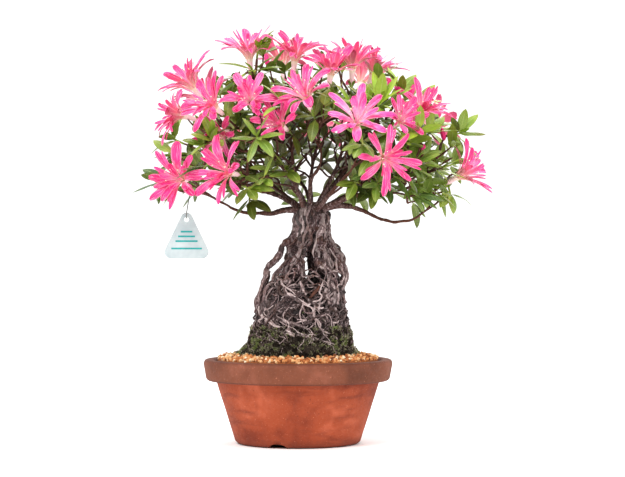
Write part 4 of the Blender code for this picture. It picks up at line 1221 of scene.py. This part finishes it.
def branches(mat, lines):
    # Main branches and twigs
    rng = random.Random(77)
    heap = Heap("age", "pale", "deep")
    for path, radii, sides in branch_tubes():
        slim = [r * max(0.34, 0.66 - 0.1 * i) for i, r in enumerate(radii)]
        line, sized = knobbly(smooth_path(path, 5), smooth_radii(slim, 5), rng, 1.4, 0.18)
        ages = []
        for p in line:
            reach = (p - Vector((13, 0, 222))).length
            ages += [max(0.0, 0.75 - reach / 90)] * 10
        heap.take(*pipe(line, sized, 10), age=ages)
    for path, radii in lines:
        line, sized = knobbly(smooth_path(path, 4), smooth_radii(radii, 4), rng, 0.6, 0.14)
        heap.take(*pipe(line, sized, 7), age=0.1)
    put("branches", heap.verts, heap.faces, mat, "bark", values=heap.values)


# New growth at the top right of the crown, as foot and heading
FRESH = [
    ((64, -58, 322), (-0.2, -0.6, 1.0)), ((78, -62, 318), (0.2, -0.7, 0.9)),
    ((92, -54, 318), (0.3, -0.6, 1.0)), ((106, -44, 312), (0.5, -0.5, 0.9)),
    ((124, -34, 296), (0.7, -0.5, 0.8)), ((144, -24, 282), (0.9, -0.4, 0.7)),
    ((104, -66, 284), (0.3, -1.0, 0.5)), ((-33, -12, 371), (0.1, -0.1, 1.0)),
    ((-14, -72, 320), (0.1, -0.9, 0.8)), ((50, -70, 318), (-0.2, -0.8, 0.9)),
    ((132, -40, 262), (0.6, -0.9, 0.2)), ((-78, -70, 286), (-0.4, -1.0, 0.5)),
    ((96, -40, 332), (0.5, -0.4, 0.9)), ((112, -32, 326), (0.8, -0.4, 0.7))]


WHORLS = 215


def extra_shoots():
    # Leaf whorls under the blooms and inside the crown
    rng = random.Random(404)
    plans = []
    for name, throat, axis, length, open_to in BLOOMS:
        tips = whorl(throat - axis * 21, axis, rng.choice((4, 5, 6)), rng, 0.3, (-38, 30), (20, 31))
        plans.append(("under_" + name, throat - axis * 24, axis, tips))
    for k, (foot, axis) in enumerate(FRESH):
        foot = Vector(foot)
        axis = Vector(axis).normalized()
        tips = whorl(foot, axis, 7, rng, 0.3, (15, 60), (24, 33))
        plans.append(("fresh_%d" % k, foot, axis, tips))
    tries = 0
    while len(plans) < WHORLS and tries < 6000:
        tries += 1
        spin = rng.uniform(0, math.tau)
        height = rng.uniform(-0.28, 1.0)
        flat = math.sqrt(1 - height * height) if abs(height) < 1 else 0
        out = Vector((flat * math.cos(spin), flat * math.sin(spin), height))
        share = rng.uniform(0.34, 0.88)
        foot = CROWN + Vector((out.x * 160, out.y * 130, out.z * 122)) * share
        if foot.z < 229:
            continue
        if -16 < foot.x < 46 and foot.y < -8 and foot.z < 304:
            continue
        if any((foot - plan[1]).length < 15 for plan in plans):
            continue
        axis = (out + Vector((0, 0, 0.45))).normalized()
        tips = whorl(foot, axis, rng.choice((5, 6, 6, 7)), rng, 0.25, (5, 60), (18, 30))
        plans.append(("inner_%d" % len(plans), foot, axis, tips))
    return plans


def hides_bloom(point):
    for name, throat, axis, length, open_to in BLOOMS:
        way = point - throat
        along = way.dot(axis)
        if -6 < along < 60 and (way - axis * along).length < 34 - 0.2 * along:
            return True
    return False


def sprinkle(space, points):
    # Leaves of the extra shoots, each kept clear of what is there
    stems = []
    leaves = []
    for name, foot, axis, tips in extra_shoots():
        rng = random.Random(name)
        if not name.startswith("under"):
            path = twig_path(foot - axis * 4.0, axis, points, 0)
            stems.append((path + [foot + axis * 3.0],
                          [1.1 - 0.3 * i / len(path) for i in range(len(path))] + [0.6]))
            points += joints(path)
        for k, tip in enumerate(tips):
            root = foot + axis * (3.0 - 5.0 * k / len(tips))
            wide = rng.uniform(7.2, 10.4)
            bend = rng.uniform(0.15, 0.55)
            for reach in (1.0, 0.86, 0.72):
                moved = foot + (tip - foot) * reach
                if -118 < moved.x < -88 and moved.z < 262 and moved.y < 0:
                    # Room for the tag and its wire
                    continue
                fresh = name.startswith("fresh")
                if not fresh and (hides_bloom(moved) or hides_bloom(foot.lerp(moved, 0.6))):
                    continue
                plan = (*leaf(root, moved, bend), wide)
                outer = far_part(*leaf_solid(*plan))
                if space.clear_of(("tree",), *outer, 0.25):
                    leaves.append((name, plan))
                    space.add(name, *outer)
                    break
    return stems, leaves


TWIG_LINES, PETALS, SHOOT_PLANS, LEAVES, SPACE, POINTS = grow()
EXTRA_STEMS, EXTRA_LEAVES = sprinkle(SPACE, POINTS)
BARK = bark()
trunk_body(BARK)
root_cage(BARK)
branches(BARK, TWIG_LINES + EXTRA_STEMS)

# The leaves: narrow and rather thick, in whorls at the tips of the twigs; the newest at the top
# are lime with a red edge, the shaded ones dark. Each is a thin blade, raised along the middle


def leaf_green():
    mat, tree, shader = blank("leaf_green", 0.36, Coat_Weight=0.18, Coat_Roughness=0.3)
    along = value_of(tree, "along")
    tone = value_of(tree, "tone")
    off = sums(tree, "ABSOLUTE", value_of(tree, "across"))
    lime = ramp(tree, along, [(0.0, (180, 208, 80)), (0.6, (164, 196, 64)), (1.0, (178, 192, 84))])
    dark = ramp(tree, along, [(0.0, (102, 124, 60)), (0.5, (68, 96, 46)), (1.0, (84, 108, 58))])
    mid = ramp(tree, along, [(0.0, (164, 182, 80)), (0.5, (128, 154, 58)), (1.0, (150, 166, 74))])
    green = over(tree, dark, mid, tone, (0.0, 0), (0.5, 1))
    green = over(tree, green, lime, tone, (0.5, 0), (1.0, 1))
    blotch = cloud(tree, 5.0, 3.0)
    green = over(tree, green, (40, 66, 34), blotch, (0.35, 0.22), (0.65, 0))
    vein = ramp(tree, off, [(0.0, 0.55), (0.14, 0)])
    green = mix(tree, vein, green, (176, 200, 120))
    slope = sums(tree, "SUBTRACT", sums(tree, "MULTIPLY", along, 62.0),
                 sums(tree, "MULTIPLY", off, 9.0))
    ribs = sums(tree, "SINE", slope)
    green = over(tree, green, (170, 196, 116), ribs, (0.72, 0), (1.0, 0.16))
    edge = mix(tree, tone, 0, ramp(tree, off, [(0.86, 0), (0.97, 0.6)]))
    green = mix(tree, edge, green, (140, 84, 50))
    under = add(tree, "ShaderNodeNewGeometry").outputs["Backfacing"]
    pale = mix(tree, blotch, (104, 124, 66), (128, 142, 84))
    pale = mix(tree, tone, pale, (146, 168, 62))
    pale = mix(tree, vein, pale, (168, 170, 104))
    green = mix(tree, sums(tree, "MULTIPLY", under, 0.62), green, pale)
    link(tree, shaded(tree, 1.0, green), shader)
    height = sums(tree, "SUBTRACT", sums(tree, "MULTIPLY", ribs, 0.15), vein)
    bump(tree, shader, height, 0.5, 0.35)
    return mat


def strip(steps, size):
    # Faces of a sheet of points, row after row
    return [(i * size + k, i * size + k + 1, (i + 1) * size + k + 1, (i + 1) * size + k)
            for i in range(steps) for k in range(size - 1)]


def fine_leaf(heap, plan, rng, tone):
    start, first, last, side, length, wide = plan
    steps = 10
    half = 2
    points, heads, tops = blade_line(start, first, last, side, length, steps)
    verts = []
    along = []
    across = []
    fold = rng.uniform(0.10, 0.30)
    wave = rng.uniform(0.0, 0.5)
    phase = rng.uniform(0, 6)
    for i in range(steps + 1):
        t = i / steps
        if t < 0.12:
            width = 0.9 + 2.0 * t / 0.12
        else:
            s = (t - 0.12) / 0.88
            width = 0.3 + wide * 1.04 * math.sin(math.pi * min(1.0, 0.14 + 0.86 * s)) ** 0.72
        cross = tops[i].cross(heads[i]).normalized()
        for k in range(-half, half + 1):
            s = k / half
            lift = fold * abs(s) * width * 0.5 + wave * s * math.sin(t * 9 + phase) * width * 0.06
            verts.append(points[i] + cross * (s * width * 0.5) + tops[i] * (lift + 0.1))
            along.append(t)
            across.append(s)
    heap.take(verts, strip(steps, 2 * half + 1), along=along, across=across, tone=tone)


TONES = {
    "shoot_top": 0.85, "shoot_left_crest": 0.45, "shoot_left_dark": 0.12,
    "shoot_front_star": 0.3, "shoot_left_mid": 0.25, "shoot_left_arch": 0.08,
    "shoot_left_tip": 0.05, "shoot_left_low": 0.45, "shoot_centre_low": 0.3,
    "shoot_under_left": 0.35, "shoot_centre_top": 0.5, "shoot_right_lime": 0.92,
    "shoot_right_long": 0.8, "shoot_right_oval": 0.85, "shoot_right_end": 0.62,
    "shoot_under_show": 0.2, "shoot_right_mid": 0.35, "shoot_centre_right": 0.3,
    "shoot_right_under": 0.3, "shoot_right_droop": 0.45, "shoot_far_under": 0.5}


def foliage(mat, shoots, leaves, extra):
    for name, foot, axis, tips in shoots:
        rng = random.Random(name + " fine")
        heap = Heap("along", "across", "tone")
        tone = TONES.get(name, 0.5)
        for plan in leaves[name]:
            fine_leaf(heap, plan, rng, min(1.0, max(0.0, tone + rng.uniform(-0.12, 0.12))))
        for k in range(3):
            # Small new leaves in the middle of the whorl
            out = spoke(axis, rng.uniform(0, math.tau))
            tip = foot + axis * rng.uniform(13, 18) + out * rng.uniform(3, 8)
            plan = (*leaf(foot + axis * 4.0, tip, 0.3), rng.uniform(2.6, 4.2))
            fine_leaf(heap, plan, rng, min(1.0, tone + 0.3))
        heap.take(*pipe([foot - axis * 7.2, foot - axis * 1.0, foot + axis * 6.5],
                        [1.0, 1.1, 0.7], 7), along=0.0, across=0.5, tone=0.4)
        put(name + "_leaves", heap.verts, heap.faces, mat, "leaf", [name], heap.values)
    heap = Heap("along", "across", "tone")
    rng = random.Random(88)
    for name, plan in extra:
        # Leaves high and far out in the crown get a lighter, limer tone, and those low and near its
        # middle a darker one: partly new growth, partly painted light and shade
        height = (plan[0].z - 225) / 150
        reach = (plan[0] - CROWN).length / 150
        tone = 0.1 + 0.35 * max(0, height) + 0.25 * max(0, reach - 0.4) + rng.uniform(-0.12, 0.2)
        if name.startswith("fresh"):
            tone = rng.uniform(0.6, 0.9)
        fine_leaf(heap, plan, rng, min(0.9, max(0.0, tone)))
    put("inner_leaves", heap.verts, heap.faces, mat, "leaf", values=heap.values)


LEAF = leaf_green()
foliage(LEAF, SHOOT_PLANS, LEAVES, EXTRA_LEAVES)

# The blooms: each corolla is split down to its tube into strap petals, cream at the throat,
# salmon on the back and hot pink to the tip, some edged white. Thin stamens stand between them,
# and a green cup and stalk hold each bloom


def petal_pink():
    # The petals glow faintly in their own colour: painted light, standing in for light that shines
    # through them; the buds share it
    mat, tree, shader = blank("petal_pink", 0.5, Emission_Strength=0.06)
    along = value_of(tree, "along")
    across = value_of(tree, "across")
    tone = value_of(tree, "tone")
    off = sums(tree, "ABSOLUTE", across)
    drift = sums(tree, "MULTIPLY", sums(tree, "SUBTRACT", cloud(tree, 7.0, 3.0), 0.5), 0.5)
    shifted = sums(tree, "ADD", along, drift)
    deep = ramp(tree, shifted, [(0.02, (250, 234, 200)), (0.18, (250, 210, 202)),
                                (0.36, (240, 124, 164)), (0.6, (228, 62, 138)),
                                (0.98, (206, 18, 108))])
    pale = ramp(tree, shifted, [(0.02, (250, 240, 215)), (0.24, (252, 232, 236)),
                                (0.44, (246, 176, 208)), (0.7, (236, 98, 166)),
                                (1.0, (212, 34, 132))])
    pink = over(tree, deep, pale, tone, (0.2, 0), (0.9, 1))
    lines = add(tree, "ShaderNodeCombineXYZ", {"X": sums(tree, "MULTIPLY", across, 6.0),
                                               "Y": sums(tree, "MULTIPLY", along, 1.7),
                                               "Z": sums(tree, "MULTIPLY", tone, 40.0)})
    veins = add(tree, "ShaderNodeTexNoise", {"Vector": lines.outputs[0], "Scale": 1.5,
                                             "Detail": 2.0, "Roughness": 0.6}).outputs["Fac"]
    pink = over(tree, pink, (255, 206, 222), veins, (0.32, 0.65), (0.46, 0))
    pink = over(tree, pink, (208, 8, 96), veins, (0.55, 0), (0.68, 0.65))
    edge = sums(tree, "MULTIPLY", ramp(tree, off, [(0.66, 0), (0.96, 0.7)]),
                ramp(tree, along, [(0.1, 1), (0.9, 0.25)]))
    pink = mix(tree, edge, pink, (255, 226, 232))
    back = add(tree, "ShaderNodeNewGeometry").outputs["Backfacing"]
    salmon = ramp(tree, along, [(0.0, (250, 216, 176)), (0.3, (248, 164, 154)),
                                (0.65, (242, 126, 150)), (1.0, (230, 88, 144))])
    salmon = mix(tree, edge, salmon, (255, 214, 214))
    pink = mix(tree, sums(tree, "MULTIPLY", back, 0.6), pink, salmon)
    link(tree, pink, shader)
    # Painted light: the petal colour also feeds the glow
    link(tree, pink, shader, "Emission Color")
    bump(tree, shader, veins, 0.35, 0.4)
    return mat


def fine_petal(heap, plan, rng, tone):
    start, first, last, side, length, wide = plan
    steps = 13
    half = 2
    points, heads, tops = blade_line(start, first, last, side, length, steps)
    verts = []
    along = []
    across = []
    cup = rng.uniform(-0.22, 0.34)
    wave = rng.uniform(0.2, 1.0)
    phase = rng.uniform(0, 6)
    twist = rng.uniform(-0.5, 0.5)
    notch = rng.uniform(0.0, 0.9)
    for i in range(steps + 1):
        t = i / steps
        grow = min(1.0, t / 0.74)
        width = 1.0 + (wide - 1.0) * (grow * grow * (3 - 2 * grow)) ** 0.8
        if t > 0.8:
            s = (t - 0.8) / 0.2
            width *= math.sqrt(max(0.0, 1 - s * s * 0.93))
        angle = twist * t * t
        cross = tops[i].cross(heads[i]).normalized()
        turned_cross = cross * math.cos(angle) + tops[i] * math.sin(angle)
        turned_top = tops[i] * math.cos(angle) - cross * math.sin(angle)
        for k in range(-half, half + 1):
            s = k / half
            lift = cup * (abs(s) ** 1.6) * width * 0.5
            lift += wave * 0.09 * width * math.sin(t * 11 + phase + s * 1.3) * abs(s)
            pull = -notch * (1 - abs(s)) * 1.4 if i == steps else 0.0
            verts.append(points[i] + turned_cross * (s * width * 0.5)
                         + turned_top * lift + heads[i] * pull)
            along.append(t)
            across.append(s)
    # The inner side of a strap is its front
    faces = [(a, d, c, b) for a, b, c, d in strip(steps, 2 * half + 1)]
    heap.take(verts, faces, along=along, across=across, tone=tone)


def bloom(mat, row, plans):
    name, throat, axis, length, open_to = row
    rng = random.Random(name + " fine")
    heap = Heap("along", "across", "tone")
    base = 0.8 if name == "bloom_show" else rng.uniform(0.0, 0.42)
    for plan in plans:
        # Each wide strap, and often a sliver torn off beside it
        width = plan[5] * rng.uniform(0.7, 1.05)
        fine_petal(heap, (*plan[:5], width), rng, base + rng.uniform(-0.25, 0.35))
        if rng.random() < 0.8:
            across = plan[3] * rng.choice((-1, 1)) * rng.uniform(0.12, 0.3)
            last = (plan[2] + across + axis * rng.uniform(0.0, 0.35)).normalized()
            fine_petal(heap, (plan[0] - plan[1] * 0.3, plan[1], last, plan[3],
                              plan[4] * rng.uniform(0.7, 1.02), rng.uniform(2.4, 4.6)),
                       rng, base + rng.uniform(-0.1, 0.5))
    for k in range(20):
        # Narrow straps between the wide ones
        out = spoke(axis, rng.uniform(0, math.tau))
        tips = headings(axis, out, rng.uniform(2, 24), max(8, open_to + rng.uniform(-62, 6)),
                        rng.uniform(-0.4, 0.4))
        plan = (throat - axis * 1.6 + out * 1.6, *tips, length * rng.uniform(0.62, 1.02),
                rng.choice((2.0, 2.8, 3.8, 5.0, 6.4)))
        fine_petal(heap, plan, rng, base + rng.uniform(-0.1, 0.5))
    tube_line = [throat + axis * s for s in (-15, -12, -8, -4, -1, 1.2)]
    heap.take(*pipe(tube_line, [1.2, 2.0, 2.4, 2.7, 3.2, 3.9], 10, False),
              along=[0.16] * 20 + [0.1] * 20 + [0.0] * 20, across=0.2, tone=0.6)
    for k in range(6):
        # Stamens, each with its anther
        out = spoke(axis, rng.uniform(0, math.tau))
        reach = rng.uniform(16, 25)
        path = [throat - axis * 3, throat + axis * reach * 0.4 + out * 1.8,
                throat + axis * reach * 0.75 + out * 4.5,
                throat + axis * reach * 0.95 + out * 8.0]
        heap.take(*pipe(smooth_path(path, 3), [0.26] * 10, 4), along=0.55, across=0.1, tone=0.7)
        end = path[-1]
        heap.take(*pipe([end - axis * 0.4, end + axis * 0.3, end + axis * 1.3], [0.3, 0.6, 0.3], 5),
                  along=0.0, across=0.1, tone=0.0)
    put(name + "_petals", heap.verts, heap.faces, mat, "petal", [name], heap.values)


def calyxes(mat):
    # Green cups and stalks that hold the blooms
    heap = Heap("along", "across", "tone")
    rng = random.Random(3)
    for name, throat, axis, length, open_to in BLOOMS:
        heap.take(*pipe([throat - axis * s for s in (24, 20, 16.5, 14.8)], [0.9, 0.8, 1.5, 2.2], 8),
                  along=0.3, across=0.5, tone=0.45)
        for k in range(5):
            out = spoke(axis, math.tau * k / 5)
            tip = throat - axis * 9.5 + out * 4.4
            plan = (*leaf(throat - axis * 15.4 + out * 1.5, tip, 0.2), 2.4)
            fine_leaf(heap, plan, rng, 0.6)
    put("calyxes", heap.verts, heap.faces, mat, "leaf", values=heap.values)


# Buds that are still closed, as foot and point
BUDS = [
    ((87, -50, 336), (86, -52, 347)), ((93, -48, 327), (95, -52, 339)),
    ((106, -48, 330), (109, -52, 341)), ((139, -30, 290), (136, -36, 301)),
    ((148, -26, 292), (149, -30, 301)), ((117, -60, 273), (118, -66, 284)),
    ((-30, 40, 366), (-32, 42, 378)), ((84, 66, 330), (88, 70, 341)),
    ((104, -60, 258), (103, -66, 267)), ((-66, 84, 308), (-68, 90, 318))]


def buds(mat):
    rng = random.Random(12)
    heap = Heap("along", "across", "tone")
    for foot, point in BUDS:
        foot = Vector(foot)
        axis = Vector(point) - foot
        for k in range(3):
            out = spoke(axis.normalized(), k * 2.1) * 0.7
            line = [foot + out + axis * t for t in (0, 0.2, 0.5, 0.8, 1.0)]
            heap.take(*pipe(smooth_path(line, 2),
                            [0.7, 1.2, 1.7, 1.9, 1.9, 1.7, 1.3, 0.8, 0.3], 8),
                      along=0.85, across=0.1, tone=rng.uniform(0.1, 0.6))
    put("buds", heap.verts, heap.faces, mat, "petal", values=heap.values)


PINK = petal_pink()
for row in BLOOMS:
    bloom(PINK, row, PETALS[row[0]])
calyxes(LEAF)
buds(PINK)

# The moss: a dark cushion that has crept from the soil up the foot of the mound, with fresh
# green tufts on top and bare wet earth between, darkened by painted shade that is near black
# at the foot of each tuft


def moss_green():
    mat, tree, shader = blank("moss_green", 0.95)
    tone = value_of(tree, "tone")
    patch = cloud(tree, 4.0, 5.0, 0.7)
    dark = mix(tree, patch, (12, 8, 6), (92, 77, 62))
    olive = mix(tree, patch, (122, 108, 84), (240, 230, 212))
    fresh = mix(tree, patch, (104, 120, 54), (176, 188, 124))
    colour = over(tree, dark, olive, tone, (0.22, 0), (0.55, 1))
    colour = over(tree, colour, fresh, tone, (0.56, 0), (0.8, 1))
    # Painted shade: the foot of each tuft goes near black, and the cushion under the tufts partly
    colour = over(tree, colour, (14, 10, 6), value_of(tree, "along"), (0.0, 0.85), (0.8, 0))
    link(tree, colour, shader)
    return mat


def eastward(z):
    # The cushion follows the mound, which leans a little to the right
    return 2.6 * min(1.0, max(0.0, (z - 84) / 20))


# Tufts of three leaves each
TUFTS = 10500


def moss():
    mat = moss_green()
    rng = random.Random(15)
    outer = [(59.3, 83.0), (57.6, 86.0), (54.6, 91.0), (51.0, 97.5), (48.4, 104.5), (46.0, 111.0),
             (43.5, 113.6)]
    count = 150
    verts = []
    tones = []
    for i in range(count):
        a = math.tau * i / count
        crest = 6.0 * noise.noise(Vector((math.cos(a) * 3.4, math.sin(a) * 3.4, 4.0))) - 1.5
        for k, (r, z) in enumerate(outer):
            p = Vector((math.cos(a) * r, math.sin(a) * r, z))
            lump = 2.4 * noise.noise(p * 0.15) + 1.0 * noise.noise(p * 0.5) - 1.4
            verts.append(((r + lump) * math.cos(a) + eastward(z), (r + lump) * math.sin(a),
                          z + crest * k / 6))
            tones.append(0.2)
        verts.append((41.6 * math.cos(a), 41.6 * math.sin(a), 111.0 + crest))
        verts.append((41.6 * math.cos(a), 41.6 * math.sin(a), 83.0))
        tones += [0.1, 0.0]
    heap = Heap("tone", "along")
    heap.take(verts, rings(count, len(outer) + 2, True), tone=tones, along=0.3)
    for k in range(TUFTS):
        a = rng.uniform(0, math.tau)
        z = 83.5 + 46 * rng.random() ** 1.4
        wide = width_at(z) + 2.4
        if z > 112:
            wide = width_at(z) - 1.2
            if noise.noise(Vector((math.cos(a) * 3, math.sin(a) * 3, z * 0.09))) < (z - 112) / 45:
                continue
        spot = Vector((wide * math.cos(a), wide * math.sin(a), z))
        patch = noise.noise(spot * 0.11)
        wide += 2.4 * noise.noise(spot * 0.15) - 1.6
        if z < 90:
            wide += (90 - z) * 0.45
        spot = Vector((wide * math.cos(a) + eastward(z), wide * math.sin(a), z))
        out = Vector((math.cos(a), math.sin(a), 0.75)).normalized()
        tall = rng.uniform(1.2, 3.2) * (1.0 + 0.6 * max(0.0, patch))
        for n in range(3):
            lean = spoke(out, rng.uniform(0, math.tau))
            tip = spot + out * tall + lean * rng.uniform(0.3, 1.3)
            foot = spot + lean * 0.3
            across = out.cross(lean).normalized() * rng.uniform(0.3, 0.7)
            clump = noise.noise(spot * 0.3 + Vector((5, 0, 0)))
            tone = min(1.0, max(0.0, 0.28 + patch * 0.8 + clump * 1.1 + rng.uniform(-0.34, 0.34)))
            heap.take([foot - across, foot + across, foot + lean * 0.4, tip],
                      [(0, 1, 3), (1, 2, 3), (2, 0, 3)], tone=tone, along=[0, 0, 0, 1.0])
    put("moss_cushion", heap.verts, heap.faces, mat, "moss", ["moss"], heap.values, False)


moss()

# The gravel: washed clay granules, orange, tan and cream, spread over the soil up to the rim
# and left loose


def granules():
    mat, tree, shader = blank("granules", 0.9)
    grain = cloud(tree, 0.9, 4.0, 0.7)
    colour = ramp(tree, value_of(tree, "tone"), [
        (0.0, (112, 66, 40)), (0.2, (172, 102, 56)), (0.45, (206, 138, 84)),
        (0.68, (226, 174, 122)), (0.86, (234, 204, 162)), (1.0, (244, 230, 202))], "LINEAR")
    colour = over(tree, colour, (120, 80, 54), grain, (0.35, 0.4), (0.6, 0))
    link(tree, colour, shader)
    bump(tree, shader, grain, 0.6, 0.3)
    return mat


GRANULES = 1650


def gravel():
    mat = granules()
    rng = random.Random(6)
    bm = bmesh.new()
    bmesh.ops.create_icosphere(bm, subdivisions=2, radius=1.0)
    ball = [v.co.copy() for v in bm.verts]
    sides = [tuple(v.index for v in f.verts) for f in bm.faces]
    bm.free()
    heap = Heap("tone")
    verts, faces = turned([(59.6, 82.4), (60.4, 84.4), (70.0, 82.8), (77.4, 80.8), (77.4, 78.6),
                           (68.0, 81.4)], 90)
    heap.take(verts, faces, tone=0.1)
    for k in range(GRANULES):
        r = math.sqrt(rng.uniform(57.5 ** 2, 77.2 ** 2))
        a = rng.uniform(0, math.tau)
        t = (r - 57.5) / 20.0
        size = rng.uniform(1.15, 2.2)
        z = 84.9 - 3.2 * t + rng.uniform(-1.1, 1.2)
        r = min(r, 77.6 - size)
        shift = Vector([rng.uniform(-50, 50) for n in range(3)])
        form = Vector([rng.uniform(0.75, 1.15) for n in range(3)])
        turn = Matrix.Rotation(rng.uniform(0, 6.28), 3, Vector(
            [rng.uniform(-1, 1) for n in range(3)]).normalized())
        spot = Vector((r * math.cos(a), r * math.sin(a), z))
        grain = []
        for v in ball:
            q = turn @ Vector((v.x * form.x, v.y * form.y, v.z * form.z))
            grain.append(spot + q * size * (1 + 0.34 * noise.noise(v * 1.3 + shift)))
        heap.take(grain, sides, tone=rng.random())
    put("gravel_bed", heap.verts, heap.faces, mat, "granules", ["gravel"], heap.values)


gravel()

# The tag: a nursery label of white plastic with ruled lines, punched at its top corner and
# hung by a thin metal wire from a low branch

TAG_X = -105.5
TAG_Y = -30


def tag():
    outline = []
    for (x, z), r, start in (((0, 215.3), 5.6, 30), ((-14.8, 183.7), 6.0, 150),
                             ((14.8, 183.7), 6.0, 270)):
        for k in range(13):
            a = math.radians(start + 10 * k)
            outline.append((x + r * math.cos(a), z + r * math.sin(a)))
    count = len(outline)
    hole = []
    for k in range(count):
        a = math.radians(30) + math.tau * k / count
        hole.append((2.4 * math.cos(a), 214.5 + 2.4 * math.sin(a)))
    verts = []
    for y, line, scale in ((-0.55, hole, 1.0), (-0.62, outline, 0.985), (-0.3, outline, 1.0),
                           (0.3, outline, 1.0), (0.62, outline, 0.985), (0.55, hole, 1.0)):
        verts += [(TAG_X + x * scale, TAG_Y + y, 198 + (z - 198) * scale) for x, z in line]
    plastic = mottled("tag_plastic", 0.38, 14.0, 2.0, (168, 179, 182), (186, 195, 196))
    put("tag_plate", verts, rings(6, count, True), plastic, "tag", ["tag"], smooth=False)
    ink = mottled("tag_lines", 0.5, 3.0, 2.0, (24, 140, 140), (34, 156, 154))
    heap = Heap()
    for z, half in ((203.0, 5.5), (198.5, 8.0), (194.0, 10.5), (187.0, 14.5)):
        heap.take([(TAG_X + side * half, TAG_Y - 0.66, z + rise * 0.8)
                   for side, rise in ((-1, -1), (1, -1), (1, 1), (-1, 1))], [(0, 1, 2, 3)])
    put("tag_ruling", heap.verts, heap.faces, ink, "tag", smooth=False)
    wire = mottled("hanger_wire", 0.35, 2.0, 2.0, (96, 96, 92), (140, 140, 134), Metallic=0.8)
    top = Vector((-103.0, -12.6, 247.3))
    path = []
    for deg in (140, 95, 50, 5, -40, -85):
        a = math.radians(deg)
        path.append(top + Vector((0, 2.95 * math.sin(a), 2.95 * math.cos(a))))
    path += [Vector(p) for p in ((-103.4, -20.0, 238.0), (-104.6, -29.0, 227.0),
                                 (-105.5, -33.0, 219.5), (-105.5, -32.4, 216.6),
                                 (-105.5, -30.0, 215.8), (-105.5, -27.6, 216.6),
                                 (-105.5, -27.0, 219.5))]
    line = smooth_path(path, 5)
    put("hanger", *pipe(line, [0.42] * len(line), 8), wire, "wire", ["tag_hanger"])


tag()

# The floor and the light: a plain white table, soft light from all round and one large lamp
# at the upper left

stage_white = mottled("stage_white", 0.9, 900.0, 1.0, 0.985, 0.995)
bpy.ops.mesh.primitive_plane_add(size=60, location=(0, 0, -0.0004))
floor = bpy.context.object
floor.name = "floor"
floor.data.materials.append(stage_white)


def lamp(name, place, aim, size, power, tint):
    data = bpy.data.lights.new(name, "AREA")
    data.shape = "DISK"
    data.size = size
    data.energy = power
    data.color = tint
    ob = bpy.data.objects.new(name, data)
    bpy.context.scene.collection.objects.link(ob)
    ob.location = place
    ob.rotation_euler = (Vector(aim) - Vector(place)).to_track_quat("-Z", "Y").to_euler()


lamp("key", (-0.9, -1.5, 1.6), (0, 0, 0.2), 0.9, 22, (1.0, 0.98, 0.96))
lamp("fill", (1.5, -1.2, 0.8), (0, 0, 0.2), 1.2, 7, (1.0, 1.0, 1.0))
lamp("back", (0.3, 1.4, 1.5), (0, 0, 0.25), 1.0, 9, (1.0, 1.0, 1.0))

world = bpy.data.worlds.new("studio")
world.use_nodes = True
world.node_tree.nodes["Background"].inputs["Color"].default_value = (1, 1, 1, 1)
world.node_tree.nodes["Background"].inputs["Strength"].default_value = 1.03
scene = bpy.context.scene
scene.world = world
scene.view_settings.view_transform = "Standard"
scene.view_settings.look = "Medium High Contrast"

# Where the photographer stood, in metres from the pot's foot
EYE = Vector((0.01396, -2.0, 0.1965))
eye = bpy.data.cameras.new("eye")
eye.lens = 119.6
eye.sensor_width = 36.0
eye.clip_end = 100.0
camera = bpy.data.objects.new("eye", eye)
scene.collection.objects.link(camera)
camera.location = EYE + AXIS
camera.rotation_euler = (math.pi / 2, 0, 0)
scene.camera = camera
